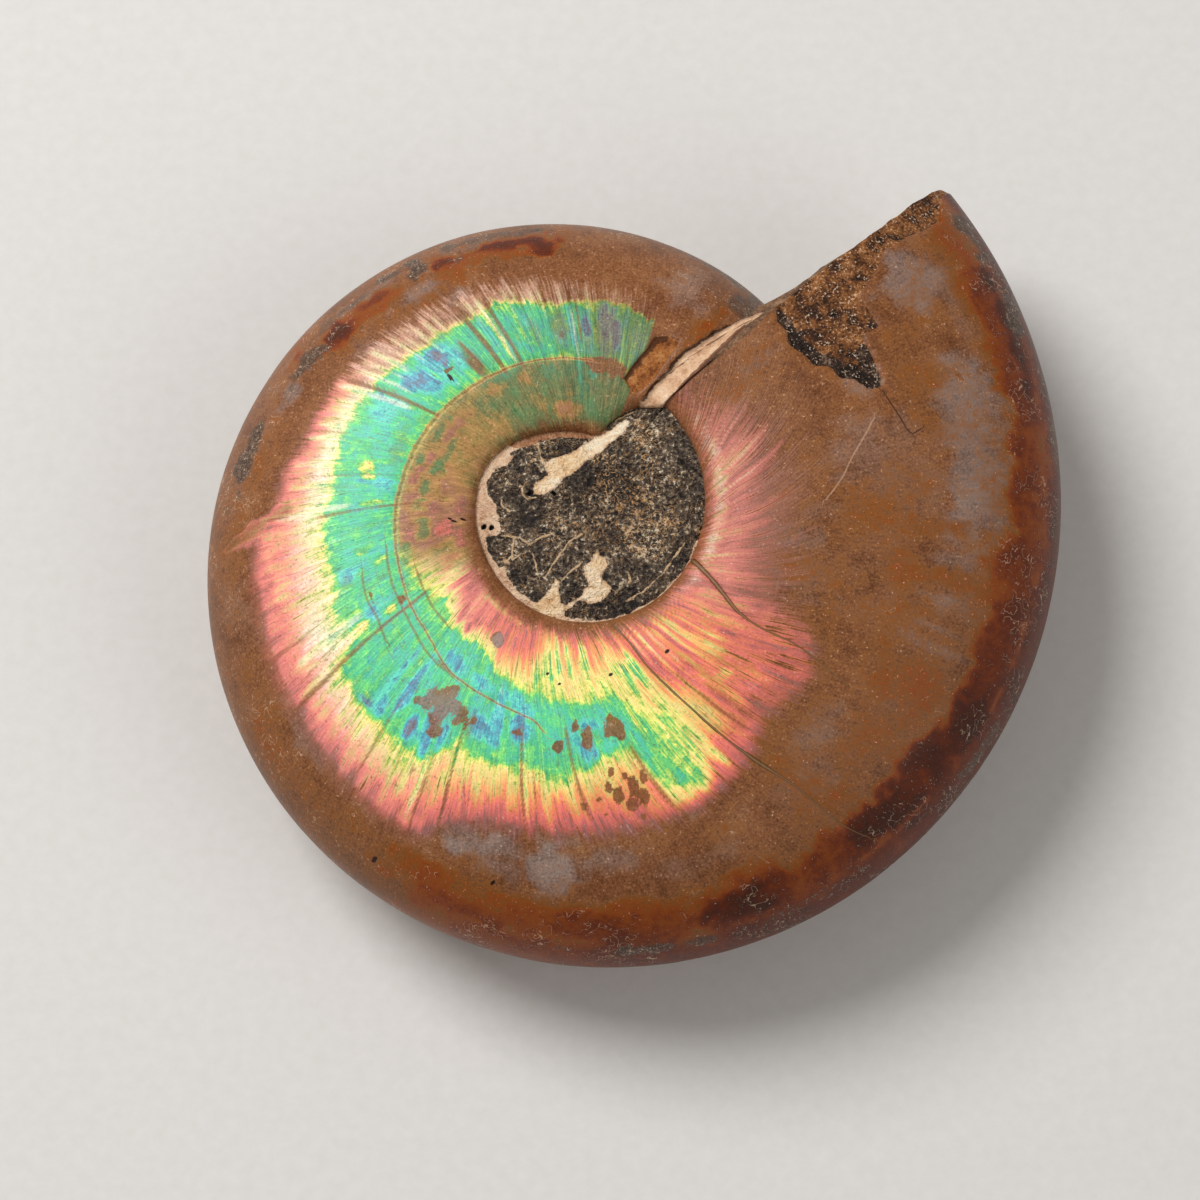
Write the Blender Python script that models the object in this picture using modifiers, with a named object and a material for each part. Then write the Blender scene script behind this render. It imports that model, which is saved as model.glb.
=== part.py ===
# A fossil ammonite: a coiled shell lying on its side, its navel filled with dark stone.
#
# The shell is one turn of a growing spiral, swept from the old whorl that shows in
# the notch at the mouth, all the way round to the broken mouth itself. Angles count
# up in the way of growth. A place across the whorl is a share of the keel's radius:
# 1 at the keel, about 0.25 at the edge of the navel.
#
# Everything is modelled in the coil's own frame, with the pole of the spiral at the
# origin and the middle plane at z = 0. An empty then lays the coil on its side.

import math

import bmesh
import bpy
from mathutils import Matrix, Vector

MM = 0.001
DEG = math.pi / 180.0

# The spiral
MOUTH_ANGLE = 405.0 * DEG        # the angle at which the mouth's sizes are given
MOUTH_RADIUS = 52.34 * MM        # pole to keel there
RADIUS_GROWTH = 0.0879           # the radius grows by this power of e in a radian
OVAL_ONCE = -0.0191              # the coil is a little squashed by the rock
OVAL_TWICE = -0.0066
OVAL_TWICE_SIN = 0.0022

# The whorl across
MOUTH_HALF_THICKNESS = 14.9 * MM
THICKNESS_GROWTH = 0.03
WIDEST_SHARE = 0.42              # where the whorl is thickest
WIDEST_SHIFT = 0.13              # that line moves out by this much at the notch
KEEL_POWER = 2.2                 # the flank's curve down to the keel
INNER_FALL = 0.06                # how far the flank drops towards the navel
SHOULDER_RADIUS = 2.6 * MM       # the round edge of the navel
SHOULDER_DROP = 1.5 * MM

# The navel's edge, as a share of the keel's radius
NAVEL_SHARE = 0.252
NAVEL_BULGE = 0.035              # stone laps over the shell on the left side
NAVEL_BULGE_ANGLE = 150.0 * DEG
NAVEL_BULGE_WIDTH = 38.0 * DEG
NAVEL_LAP = 0.162                # and further at the notch
NAVEL_LAP_FROM = 56.0 * DEG
NAVEL_LAP_TO = 82.0 * DEG

# The break at the mouth: its edge on the last whorl and its foot on the old one
BREAK_ANGLE = 403.6 * DEG
BREAK_LEAN = 1.9 * DEG           # how far its edge swings on the flank
LEAN_SHARES = (0.80, 0.50)       # where that swing begins and ends
BREAK_HOOK = 5.5 * DEG           # how far it hooks forward beside the navel
HOOK_SHARES = (0.47, 0.24)
HOOK_POWER = 1.4
FOOT_ANGLE = 47.2 * DEG
FOOT_SWING = 24.0 * DEG

# The stone in the navel
STONE_LEVEL = 12.4 * MM          # height of its middle over the coil's middle plane
STONE_LUMP = 0.45 * MM
LEVEL_RUN = 0.5                  # share of the way in by which the stone is level
MOUTH_LUMP = 0.45 * MM           # lumps of the broken face
MOUTH_LUMP_WIDTH = 8.0 * MM      # where the face is narrower than this they fade

# Shell that is missing on the upper side, as rows across the flank: the share of the
# radius, then the angles in degrees where the bare patch begins and ends
CRUST_DEPTH = 0.55 * MM
CRUST_ROWS = (
    (0.505, 401.0, 407.5),
    (0.530, 393.0, 407.5),
    (0.560, 389.0, 407.5),
    (0.590, 385.0, 407.5),
    (0.620, 382.0, 407.5),
    (0.648, 382.5, 407.5),
    (0.662, 391.0, 407.5),
    (0.700, 397.6, 407.5),
    (0.770, 399.6, 407.5),
    (0.850, 400.2, 407.5),
    (0.920, 400.4, 407.5),
    (0.960, 402.6, 407.5),
)
CHIP_DEPTH = 0.4 * MM
CHIP_ROWS = (
    (0.445, 61.8, 69.6),
    (0.490, 60.6, 68.4),
    (0.550, 59.2, 66.8),
    (0.612, 57.8, 65.6),
    (0.635, 57.2, 62.4),
    (0.682, 55.8, 57.6),
)

# Lying on its side
LEAN = 1.81 * DEG                # the mouth is the thick end, so the coil leans back
LEAN_TOWARDS = 221.46 * DEG      # the way that the coil's axis leans
FLAT_DEPTH = 0.35 * MM           # worn flat where it rests
GROUND_SIZE = 200.0 * MM         # side of the block that takes the flat off
PATCH_REACH = 4.0 * MM           # how far the patch cutters stand over the shell

# Mesh density
COLUMNS = 78
KEEL_ROWS = 9
FLANK_ROWS = 3
SHOULDER_ROWS = 3
STONE_RINGS = 5
BREAK_COLUMNS = 4

SHELL_COLOUR = (0.36, 0.17, 0.09, 1.0)
COLLECTION_NAME = "iridescent_ammonite_fossil"
CUTTER_COLLECTION = "cutters"


def keelRadius(angle):
    turned = angle - MOUTH_ANGLE
    oval = OVAL_ONCE * math.cos(angle)
    oval += OVAL_TWICE * math.cos(2.0 * angle) + OVAL_TWICE_SIN * math.sin(2.0 * angle)
    return MOUTH_RADIUS * math.exp(RADIUS_GROWTH * turned) * (1.0 + oval)


def halfThickness(angle):
    return MOUTH_HALF_THICKNESS * math.exp(THICKNESS_GROWTH * (angle - MOUTH_ANGLE))


def ramp(begin, end, value):
    """0 at begin and before it, 1 at end and after it, straight between them."""
    return min(max((value - begin) / (end - begin), 0.0), 1.0)


def smoothStep(begin, end, value):
    share = ramp(begin, end, value)
    return share * share * (3.0 - 2.0 * share)


def stoneLap(angle):
    """1 at the notch, where the stone laps over the old whorl, and 0 away from it."""
    return 1.0 - smoothStep(NAVEL_LAP_FROM, NAVEL_LAP_TO, angle)


def navelShare(angle):
    bulge = math.exp(-(((angle - NAVEL_BULGE_ANGLE) / NAVEL_BULGE_WIDTH) ** 2))
    return NAVEL_SHARE + NAVEL_BULGE * bulge + NAVEL_LAP * stoneLap(angle)


def widestShare(angle):
    return WIDEST_SHARE + WIDEST_SHIFT * stoneLap(angle)


def keelCurve(share, widest):
    """Height of the flank, as a share of the half thickness, outside the widest line."""
    outward = (share - widest) / (1.0 - widest)
    return math.sqrt(max(1.0 - outward ** KEEL_POWER, 0.0))


def innerCurve(share, widest):
    inward = (widest - share) / (WIDEST_SHARE - NAVEL_SHARE)
    return 1.0 - INNER_FALL * inward * inward


def flankHeight(share, angle):
    """Height of the shell over the coil's middle plane, clear of the navel's edge."""
    widest = widestShare(angle)
    if share >= widest:
        return halfThickness(angle) * keelCurve(share, widest)
    return halfThickness(angle) * innerCurve(share, widest)


def sectionRow(row, angle):
    """Share of the keel's radius and height of one row of the section.

    The rows run from the keel over the flank and down the navel's round edge.
    """
    widest = widestShare(angle)
    thick = halfThickness(angle)
    if row <= KEEL_ROWS:
        swing = 0.5 * math.pi * (1.0 - row / KEEL_ROWS)
        share = widest + (1.0 - widest) * math.sin(swing) ** (2.0 / KEEL_POWER)
        return share, thick * math.cos(swing)
    edge = navelShare(angle)
    shoulder = edge + SHOULDER_RADIUS / keelRadius(angle)
    if row <= KEEL_ROWS + FLANK_ROWS:
        part = (row - KEEL_ROWS) / FLANK_ROWS
        share = widest + (shoulder - widest) * part
        return share, thick * innerCurve(share, widest)
    bend = 0.5 * math.pi * (row - KEEL_ROWS - FLANK_ROWS) / SHOULDER_ROWS
    share = shoulder - (shoulder - edge) * math.sin(bend)
    top = thick * innerCurve(shoulder, widest)
    return share, top - SHOULDER_DROP * (1.0 - math.cos(bend))


def mouthEdgeAngle(share):
    """Angle of the break on the last whorl."""
    lean = ramp(*LEAN_SHARES, share)
    hook = ramp(*HOOK_SHARES, share)
    return BREAK_ANGLE + BREAK_LEAN * lean + BREAK_HOOK * hook ** HOOK_POWER


def footAngle(share):
    """Angle of the break's foot on the old whorl."""
    return FOOT_ANGLE + FOOT_SWING * (1.0 - share)


def coilPoint(share, angle, height):
    radius = share * keelRadius(angle)
    return Vector((radius * math.cos(angle), radius * math.sin(angle), height))


def shellPoint(row, turned):
    """A point of the shell: turned runs from 0 at the old whorl to 1 at the mouth."""
    startShare = sectionRow(row, FOOT_ANGLE + 0.5 * FOOT_SWING)[0]
    endShare = sectionRow(row, MOUTH_ANGLE)[0]
    start = footAngle(startShare)
    end = mouthEdgeAngle(endShare)
    angle = start + (end - start) * turned
    share, height = sectionRow(row, angle)
    return coilPoint(share, angle, height)


def lump(point, size):
    """A smooth uneven height between about -size and size, the same on every run."""
    x = point.x / MM
    y = point.y / MM
    z = point.z / MM
    wave = math.sin(0.95 * x + 0.40 * y) + math.sin(1.25 * y - 0.55 * x + 1.7)
    wave += 0.7 * math.sin(1.9 * x + 1.3 * z + 0.6) * math.cos(1.6 * y - 0.9 * z)
    return size * wave / 2.7


def shellColumns():
    """The columns of the upper half, round the coil and back across the break."""
    lastRow = KEEL_ROWS + FLANK_ROWS + SHOULDER_ROWS
    columns = []
    for i in range(COLUMNS + 1):
        columns.append([shellPoint(row, i / COLUMNS) for row in range(lastRow + 1)])
    mouth = columns[-1]
    foot = columns[0]
    for j in range(1, BREAK_COLUMNS):
        across = j / BREAK_COLUMNS
        column = []
        for row, (outer, inner) in enumerate(zip(mouth, foot)):
            point = outer.lerp(inner, across)
            width = (outer - inner).length
            fade = ramp(0.0, MOUTH_LUMP_WIDTH, width) * math.sin(math.pi * across)
            if 0 < row < lastRow:
                forward = Vector((-outer.y, outer.x, 0.0)).normalized()
                point = point + forward * lump(point, MOUTH_LUMP) * fade
            column.append(point)
        columns.append(column)
    return columns


def stoneRings(edge):
    """Rings of the stone from the navel's edge inwards, without the middle point."""
    middle = Vector((0.0, 0.0, STONE_LEVEL))
    rings = []
    for k in range(1, STONE_RINGS):
        inward = k / STONE_RINGS
        ring = []
        for point in edge:
            place = point.lerp(middle, inward)
            level = point.z + (STONE_LEVEL - point.z) * smoothStep(0.0, LEVEL_RUN, inward)
            place.z = level + lump(place, STONE_LUMP)
            ring.append(place)
        rings.append(ring)
    return rings, middle


def upperHalf():
    """The coil above its middle plane, open at the plane."""
    mesh = bmesh.new()
    columns = [[mesh.verts.new(point) for point in column] for column in shellColumns()]
    count = len(columns)
    for i in range(count):
        here = columns[i]
        ahead = columns[(i + 1) % count]
        for row in range(len(here) - 1):
            mesh.faces.new((here[row], ahead[row], ahead[row + 1], here[row + 1]))
    rings, middle = stoneRings([column[-1].co.copy() for column in columns])
    outer = [column[-1] for column in columns]
    for ring in rings:
        inner = [mesh.verts.new(point) for point in ring]
        for i in range(count):
            j = (i + 1) % count
            mesh.faces.new((outer[i], outer[j], inner[j], inner[i]))
        outer = inner
    tip = mesh.verts.new(middle)
    for i in range(count):
        mesh.faces.new((outer[i], outer[(i + 1) % count], tip))
    data = bpy.data.meshes.new("ammonite")
    mesh.to_mesh(data)
    mesh.free()
    data.shade_smooth()
    data.set_sharp_from_angle(angle=40.0 * DEG)
    return data


def patchCutter(name, rows, depth, across=3):
    """A slab whose floor follows the flank at a depth, to take out a patch of shell."""
    mesh = bmesh.new()
    floor = []
    lid = []
    for share, begin, end in rows:
        floorRow = []
        lidRow = []
        for k in range(across + 1):
            angle = (begin + (end - begin) * k / across) * DEG
            height = flankHeight(share, angle)
            floorRow.append(mesh.verts.new(coilPoint(share, angle, height - depth)))
            lidRow.append(mesh.verts.new(coilPoint(share, angle, height + PATCH_REACH)))
        floor.append(floorRow)
        lid.append(lidRow)
    lastRow = len(rows) - 1
    for r in range(lastRow):
        for k in range(across):
            mesh.faces.new((floor[r][k], floor[r + 1][k], floor[r + 1][k + 1], floor[r][k + 1]))
            mesh.faces.new((lid[r][k], lid[r][k + 1], lid[r + 1][k + 1], lid[r + 1][k]))
        for k in (0, across):
            mesh.faces.new((floor[r][k], lid[r][k], lid[r + 1][k], floor[r + 1][k]))
    for k in range(across):
        for r in (0, lastRow):
            mesh.faces.new((floor[r][k], floor[r][k + 1], lid[r][k + 1], lid[r][k]))
    bmesh.ops.recalc_face_normals(mesh, faces=mesh.faces)
    data = bpy.data.meshes.new(name)
    mesh.to_mesh(data)
    mesh.free()
    return bpy.data.objects.new(name, data)


def groundCutter():
    """A block below the ground."""
    middle = (0.0, 0.0, -0.5 * GROUND_SIZE)
    bpy.ops.mesh.primitive_cube_add(size=GROUND_SIZE, location=middle)
    block = bpy.context.object
    block.name = "ground"
    for collection in list(block.users_collection):
        collection.objects.unlink(block)
    return block


def shellMaterial():
    material = bpy.data.materials.new("fossil_shell")
    material.use_nodes = True
    shader = material.node_tree.nodes["Principled BSDF"]
    shader.inputs["Base Color"].default_value = SHELL_COLOUR
    shader.inputs["Roughness"].default_value = 0.35
    shader.inputs["Metallic"].default_value = 0.0
    return material


def cut(body, cutter):
    boolean = body.modifiers.new("cut_" + cutter.name, "BOOLEAN")
    boolean.operation = "DIFFERENCE"
    boolean.solver = "EXACT"
    boolean.object = cutter


def clearScene():
    for item in list(bpy.data.objects):
        bpy.data.objects.remove(item, do_unlink=True)


def newCollection(name):
    collection = bpy.data.collections.new(name)
    bpy.context.scene.collection.children.link(collection)
    return collection


def layOnSide(data):
    """The turn and shift that lay the coil down with its box centred over the origin."""
    axis = Vector((-math.sin(LEAN_TOWARDS), math.cos(LEAN_TOWARDS), 0.0))
    turn = Matrix.Rotation(LEAN, 4, axis)
    points = []
    for vertex in data.vertices:
        x, y, z = vertex.co
        points.append(turn @ Vector((x, y, z)))
        points.append(turn @ Vector((x, y, -z)))
    low = Vector([min(point[k] for point in points) for k in range(3)])
    high = Vector([max(point[k] for point in points) for k in range(3)])
    middle = 0.5 * (low + high)
    shift = Vector((-middle.x, -middle.y, -low.z - FLAT_DEPTH))
    return Matrix.Translation(shift) @ turn


def main():
    clearScene()
    parts = newCollection(COLLECTION_NAME)
    cutters = newCollection(CUTTER_COLLECTION)

    data = upperHalf()
    frame = bpy.data.objects.new("coil_frame", None)
    frame.matrix_world = layOnSide(data)
    parts.objects.link(frame)

    ammonite = bpy.data.objects.new("ammonite", data)
    ammonite.parent = frame
    ammonite.data.materials.append(shellMaterial())
    parts.objects.link(ammonite)

    mirror = ammonite.modifiers.new("lower_half", "MIRROR")
    mirror.use_axis = (False, False, True)
    mirror.merge_threshold = 0.00001

    patches = (
        patchCutter("crust_patch", CRUST_ROWS, CRUST_DEPTH),
        patchCutter("chip_patch", CHIP_ROWS, CHIP_DEPTH),
    )
    for patch in patches:
        patch.parent = frame
    for cutter in (*patches, groundCutter()):
        cutter.hide_render = True
        cutter.display_type = "WIRE"
        cutters.objects.link(cutter)
        cut(ammonite, cutter)
    bpy.context.view_layer.update()


main()
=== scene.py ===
import math

import bpy
import numpy as np
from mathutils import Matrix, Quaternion, Vector


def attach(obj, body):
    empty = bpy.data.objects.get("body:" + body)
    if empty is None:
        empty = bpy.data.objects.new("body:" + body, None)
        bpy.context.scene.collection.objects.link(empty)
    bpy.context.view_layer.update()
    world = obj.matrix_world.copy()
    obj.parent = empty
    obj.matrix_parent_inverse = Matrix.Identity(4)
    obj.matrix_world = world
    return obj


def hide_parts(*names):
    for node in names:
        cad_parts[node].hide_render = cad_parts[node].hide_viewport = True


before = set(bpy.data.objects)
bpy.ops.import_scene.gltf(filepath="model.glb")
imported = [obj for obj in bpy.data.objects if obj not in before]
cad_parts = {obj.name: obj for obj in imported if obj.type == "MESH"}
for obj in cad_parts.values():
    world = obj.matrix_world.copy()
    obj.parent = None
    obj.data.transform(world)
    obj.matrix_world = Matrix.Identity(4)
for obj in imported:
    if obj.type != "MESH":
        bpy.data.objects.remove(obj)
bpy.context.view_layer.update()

# A polished fossil ammonite on its side. Angles are in degrees and grow with the shell,
# lengths are in millimetres until a mesh is made. A share is a place across the whorl
# as a part of the keel's radius: 1 at the keel, about 0.25 at the navel.

mm = 0.001

coil = {
    "mouthAngle": 405.0, "mouthRadius": 52.34, "radiusGrowth": 0.0879,
    "oval": (-0.0191, -0.0066, 0.0022),          # cosine, double cosine, double sine
    "halfThickness": 14.9, "thicknessGrowth": 0.03,
    "widest": 0.42, "widestShift": 0.13, "keelPower": 2.2, "innerFall": 0.06,
    "shoulderRadius": 2.6, "shoulderDrop": 1.5,
    "navel": 0.252, "navelBulge": (0.035, 150.0, 38.0), "navelLap": (0.162, 56.0, 82.0),
    "breakAngle": 403.6, "breakLean": (1.9, 0.80, 0.50), "breakHook": (5.5, 0.47, 0.24, 1.4),
    "foot": (47.2, 24.0),
    "lean": 1.81, "leanTowards": 221.46,
    "poleAt": (-5.053, 3.655, 13.903),           # where the pole lies once it is laid down
}


# Small helpers on whole arrays

def ramp(begin, end, value):
    # straight from 0 at begin to 1 at end
    return np.clip((value - begin) / (end - begin), 0.0, 1.0)


def smooth(begin, end, value):
    # the same with its corners eased: three times the square less twice the cube
    part = ramp(begin, end, value)
    return part * part * (3.0 - 2.0 * part)


def bell(value, middle, width):
    # 1 at the middle, falling as e to the minus square of the distance in widths
    return np.exp(-((value - middle) / width) ** 2)


def along(stops, value):
    # a curve of straight pieces through its stops
    return np.interp(value, [stop[0] for stop in stops], [stop[1] for stop in stops])


def mixed(a, b, part):
    # from a at part 0 to b at part 1
    return a + (b - a) * part


def lattice(ix, iy, iz, seed):
    # a number from 0 to 1 for each lattice point, from a mixing of its whole numbers
    mix = (ix * 374761393 + iy * 668265263 + iz * 1442695041 + seed * 974634777) & 0xFFFFFFFF
    mix = ((mix ^ (mix >> 13)) * 1274126177) & 0xFFFFFFFF
    mix = ((mix ^ (mix >> 15)) * 668265263) & 0xFFFFFFFF
    return ((mix ^ (mix >> 16)) & 0xFFFFFFFF) / 4294967295.0


def wobble(x, y, z=0.0, seed=0):
    # value noise: random numbers on a lattice, blended smoothly between, from -1 to 1
    x, y, z = np.broadcast_arrays(np.asarray(x, float), y, z)
    ix, iy, iz = (np.floor(v).astype(np.int64) for v in (x, y, z))
    fx, fy, fz = (smooth(0.0, 1.0, v - i) for v, i in ((x, ix), (y, iy), (z, iz)))
    total = np.zeros(x.shape)
    for dx in (0, 1):
        for dy in (0, 1):
            for dz in (0, 1):
                weight = np.abs(1 - dx - fx) * np.abs(1 - dy - fy) * np.abs(1 - dz - fz)
                total += weight * lattice(ix + dx, iy + dy, iz + dz, seed)
    return 2.0 * total - 1.0


def rough(x, y, z=0.0, seed=0, octaves=4):
    # fractal noise: each octave of value noise is twice as fine and half as strong
    total = 0.0
    for octave in range(octaves):
        k = 2.0 ** octave
        total = total + wobble(x * k, y * k, z * k, seed + octave) / k
    return total / (2.0 - 2.0 ** (1 - octaves))


def cells(x, y, seed):
    # cellular noise: distance to the nearest of one random point in each square of a
    # lattice
    ix, iy = np.floor(x).astype(np.int64), np.floor(y).astype(np.int64)
    nearest = np.full(x.shape, 9.0)
    for dx in (-1, 0, 1):
        for dy in (-1, 0, 1):
            px = ix + dx + lattice(ix + dx, iy + dy, 0, seed)
            py = iy + dy + lattice(ix + dx, iy + dy, 1, seed)
            nearest = np.minimum(nearest, np.hypot(px - x, py - y))
    return nearest


def edgeDistance(x, y, ends):
    # distance to the nearest point of a straight edge, found by its part along the edge
    (ax, ay), (bx, by) = ends
    ex, ey = bx - ax, by - ay
    t = np.clip(((x - ax) * ex + (y - ay) * ey) / (ex * ex + ey * ey), 0.0, 1.0)
    return np.hypot(x - ax - t * ex, y - ay - t * ey)


def pathDistance(x, y, path):
    # distance to an open path of straight pieces, above zero on its left, so that it
    # runs evenly through zero between the points of a mesh
    best = np.full(x.shape, 1e3)
    for (ax, ay), (bx, by) in zip(path, path[1:]):
        away = edgeDistance(x, y, ((ax, ay), (bx, by)))
        left = np.where((bx - ax) * (y - ay) > (by - ay) * (x - ax), 1.0, -1.0)
        best = np.where(away < np.abs(best), away * left, best)
    return best


def rounded(path, count=4):
    # the same path through the same points with its corners rounded: cubic pieces
    # whose slope at each point is that between its neighbours
    points = np.array(path[:1] + path + path[-1:], float)
    before, begin, end, after = points[:-3], points[1:-2], points[2:-1], points[3:]
    square = 2 * before - 5 * begin + 4 * end - after
    cube = 3 * begin - before - 3 * end + after
    part = np.arange(count)[:, None] / count
    steps = begin[:, None] + 0.5 * part * (
        (end - before)[:, None] + part * (square[:, None] + part * cube[:, None]))
    return [tuple(p) for p in steps.reshape(-1, 2)] + [tuple(points[-1])]


def nearer(a, b):
    # the one that is closer to zero
    return np.where(np.abs(a) < np.abs(b), a, b)


def outlineDistance(x, y, outline):
    # distance to a closed outline, above zero inside it, where a ray to the side
    # crosses its edges an odd number of times
    best = np.full(x.shape, 1e3)
    inside = np.zeros(x.shape, bool)
    for ends in zip(outline, outline[1:] + outline[:1]):
        (ax, ay), (bx, by) = ends
        best = np.minimum(best, edgeDistance(x, y, ends))
        if ay != by:
            inside ^= ((ay > y) != (by > y)) & (x < ax + (y - ay) * (bx - ax) / (by - ay))
    return np.where(inside, best, -best)


def ovals(angle, share, items, ragged, seed):
    # the strongest of a list of soft ovals: middle angle and share, half sizes, amount
    best = np.zeros(angle.shape)
    edge = 1.5 * ragged * rough(angle / 2.2, share * 36.0, 0.0, seed, 4)
    for atAngle, atShare, reach, width, amount in items:
        away = np.hypot((angle - atAngle) / reach, (share - atShare) / width) + edge
        best = np.maximum(best, amount * (1.0 - smooth(0.35, 1.45, away)))
    return best


def strands(lines, share, layers, seed):
    # noise drawn out along the growth lines: each layer's strength, its width in
    # degrees, and how often it changes between the pole and the keel
    total = 0.0
    for step, (strength, width, often) in enumerate(layers):
        total = total + strength * wobble(lines / width, share * often, seed=seed + step)
    return total


def raggedEdge(lines, share, ragged, seed):
    # an edge that is ragged at random and drawn out along the growth lines
    streaked = strands(lines, share, ((0.6, 0.9, 7.0), (0.5, 2.1, 5.0)), seed)
    return ragged * (streaked + 0.7 * rough(lines / 2.6, share * 34.0, 0.0, seed + 2, 3))


def dabbed(base, lines, share, dabs, ragged, seed):
    # ovals laid over a field one after another, leaning with the growth lines: middle
    # angle and share, half sizes, the value there, and how fully it takes over
    edge = raggedEdge(lines, share, ragged, seed)
    for atAngle, atShare, reach, width, value, strength in dabs:
        middle = growthAngle(np.array(float(atAngle)), atShare)
        away = np.hypot((lines - middle) / reach, (share - atShare) / width)
        base = mixed(base, value, strength * (1.0 - smooth(0.55, 1.25, away + edge)))
    return base


# The coil

def keelRadius(angle):
    # a growing spiral, pressed a little out of round by two slow waves
    turned = np.radians(angle - coil["mouthAngle"])
    once, twice, twiceSin = coil["oval"]
    a = np.radians(angle)
    oval = once * np.cos(a) + twice * np.cos(2.0 * a) + twiceSin * np.sin(2.0 * a)
    return coil["mouthRadius"] * np.exp(coil["radiusGrowth"] * turned) * (1.0 + oval)


def halfThickness(angle):
    # it grows with the spiral, only more slowly
    turned = np.radians(angle - coil["mouthAngle"])
    return coil["halfThickness"] * np.exp(coil["thicknessGrowth"] * turned)


def stoneLap(angle):
    # 1 where the last turn lies over the first, falling to 0 past it
    return 1.0 - smooth(coil["navelLap"][1], coil["navelLap"][2], angle)


def navelShare(angle):
    amount, middle, width = coil["navelBulge"]
    lap = coil["navelLap"][0] * stoneLap(angle)
    return coil["navel"] + amount * bell(angle, middle, width) + lap


def widestShare(angle):
    return coil["widest"] + coil["widestShift"] * stoneLap(angle)


def innerCurve(share, widest):
    # the flank's height as a part of the thickness: it falls away towards the navel
    inward = (widest - share) / (coil["widest"] - coil["navel"])
    return 1.0 - coil["innerFall"] * inward * inward


def sectionAt(t, angle):
    # the upper half of the whorl's outline: t runs 0 to 1 from the keel to the widest
    # line on a superellipse, to 2 over the flank, to 3 round the navel's shoulder on a
    # quarter ellipse, and to 4 straight down the navel's wall to the middle plane
    widest = widestShare(angle)
    thick = halfThickness(angle)
    edge = navelShare(angle)
    shoulder = edge + coil["shoulderRadius"] / keelRadius(angle)
    swing = 0.5 * math.pi * (1.0 - np.clip(t, 0.0, 1.0))
    keelPart = widest + (1.0 - widest) * np.sin(swing) ** (2.0 / coil["keelPower"])
    flankPart = mixed(widest, shoulder, np.clip(t - 1.0, 0.0, 1.0))
    bend = 0.5 * math.pi * np.clip(t - 2.0, 0.0, 1.0)
    roundPart = shoulder - (shoulder - edge) * np.sin(bend)
    top = thick * innerCurve(shoulder, widest)
    drop = top - coil["shoulderDrop"] * (1.0 - np.cos(bend))
    wall = drop * (1.0 - np.clip(t - 3.0, 0.0, 1.0))
    share = np.where(t <= 1.0, keelPart, np.where(t <= 2.0, flankPart, roundPart))
    flank = np.where(t <= 1.0, thick * np.cos(swing), thick * innerCurve(flankPart, widest))
    return share, np.where(t <= 2.0, flank, wall)


def mouthAngleAt(share):
    # the broken mouth leans forward towards the pole, and hooks near the navel
    swing, high, low = coil["breakLean"]
    hook, hookHigh, hookLow, power = coil["breakHook"]
    bent = hook * ramp(hookHigh, hookLow, share) ** power
    return coil["breakAngle"] + swing * ramp(high, low, share) + bent


def footAngleAt(share):
    # where the break comes down on the old turn
    return coil["foot"][0] + coil["foot"][1] * (1.0 - share)


def coilPoints(share, angle, height):
    # places round the pole, and the height over the middle plane
    radius = share * keelRadius(angle)
    a = np.radians(angle)
    return np.stack([radius * np.cos(a), radius * np.sin(a), height], -1)


def flatPath(path):
    # a path given by angle and share, as places over the middle plane
    angles, shares = np.array(path).T
    return [tuple(place) for place in coilPoints(shares, angles, 0.0 * angles)[:, :2]]


def leanMatrix():
    # a turn by the lean about the level axis square to the way it leans
    a, lean = math.radians(coil["leanTowards"]), math.radians(coil["lean"])
    ux, uy = -math.sin(a), math.cos(a)
    c, s = math.cos(lean), math.sin(lean)
    return np.array([
        [c + ux * ux * (1 - c), ux * uy * (1 - c), uy * s],
        [ux * uy * (1 - c), c + uy * uy * (1 - c), -ux * s],
        [-uy * s, ux * s, c],
    ])


def laidDown(points):
    # out of the coil's own frame: leant, set over the origin, and worn flat underneath
    placed = points @ leanMatrix().T + np.array(coil["poleAt"])
    placed[..., 2] = np.maximum(placed[..., 2], 0.0)
    return placed * mm


# Growth lines sweep forward towards the keel: degrees by which they lead, by share,
# and how strongly, by angle
growth = {
    "lead": (
        (0.24, -15.0), (0.26, -13.0), (0.32, -8.5), (0.375, -6.0), (0.445, -2.5), (0.5, 0.0),
        (0.583, 3.0), (0.647, 5.3), (0.75, 9.0), (0.82, 10.3), (0.935, 13.5), (1.0, 14.5)),
    "outer": ((60, 0.36), (240, 0.40), (262, 0.6), (285, 1.0), (330, 1.0), (345, 0.3), (405, 0.2)),
    "inner": (
        (60, 0.2), (180, 0.3), (205, 0.45), (240, 0.65), (260, 0.9), (290, 1.0), (330, 1.0), (350, 1.6),
        (375, 2.0), (405, 2.2)),
}


def growthAngle(angle, share):
    # the angle at which a point's growth line crosses the share of 0.5
    strength = np.where(share > 0.5, along(growth["outer"], angle), along(growth["inner"], angle))
    return angle - strength * along(growth["lead"], share)


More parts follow.
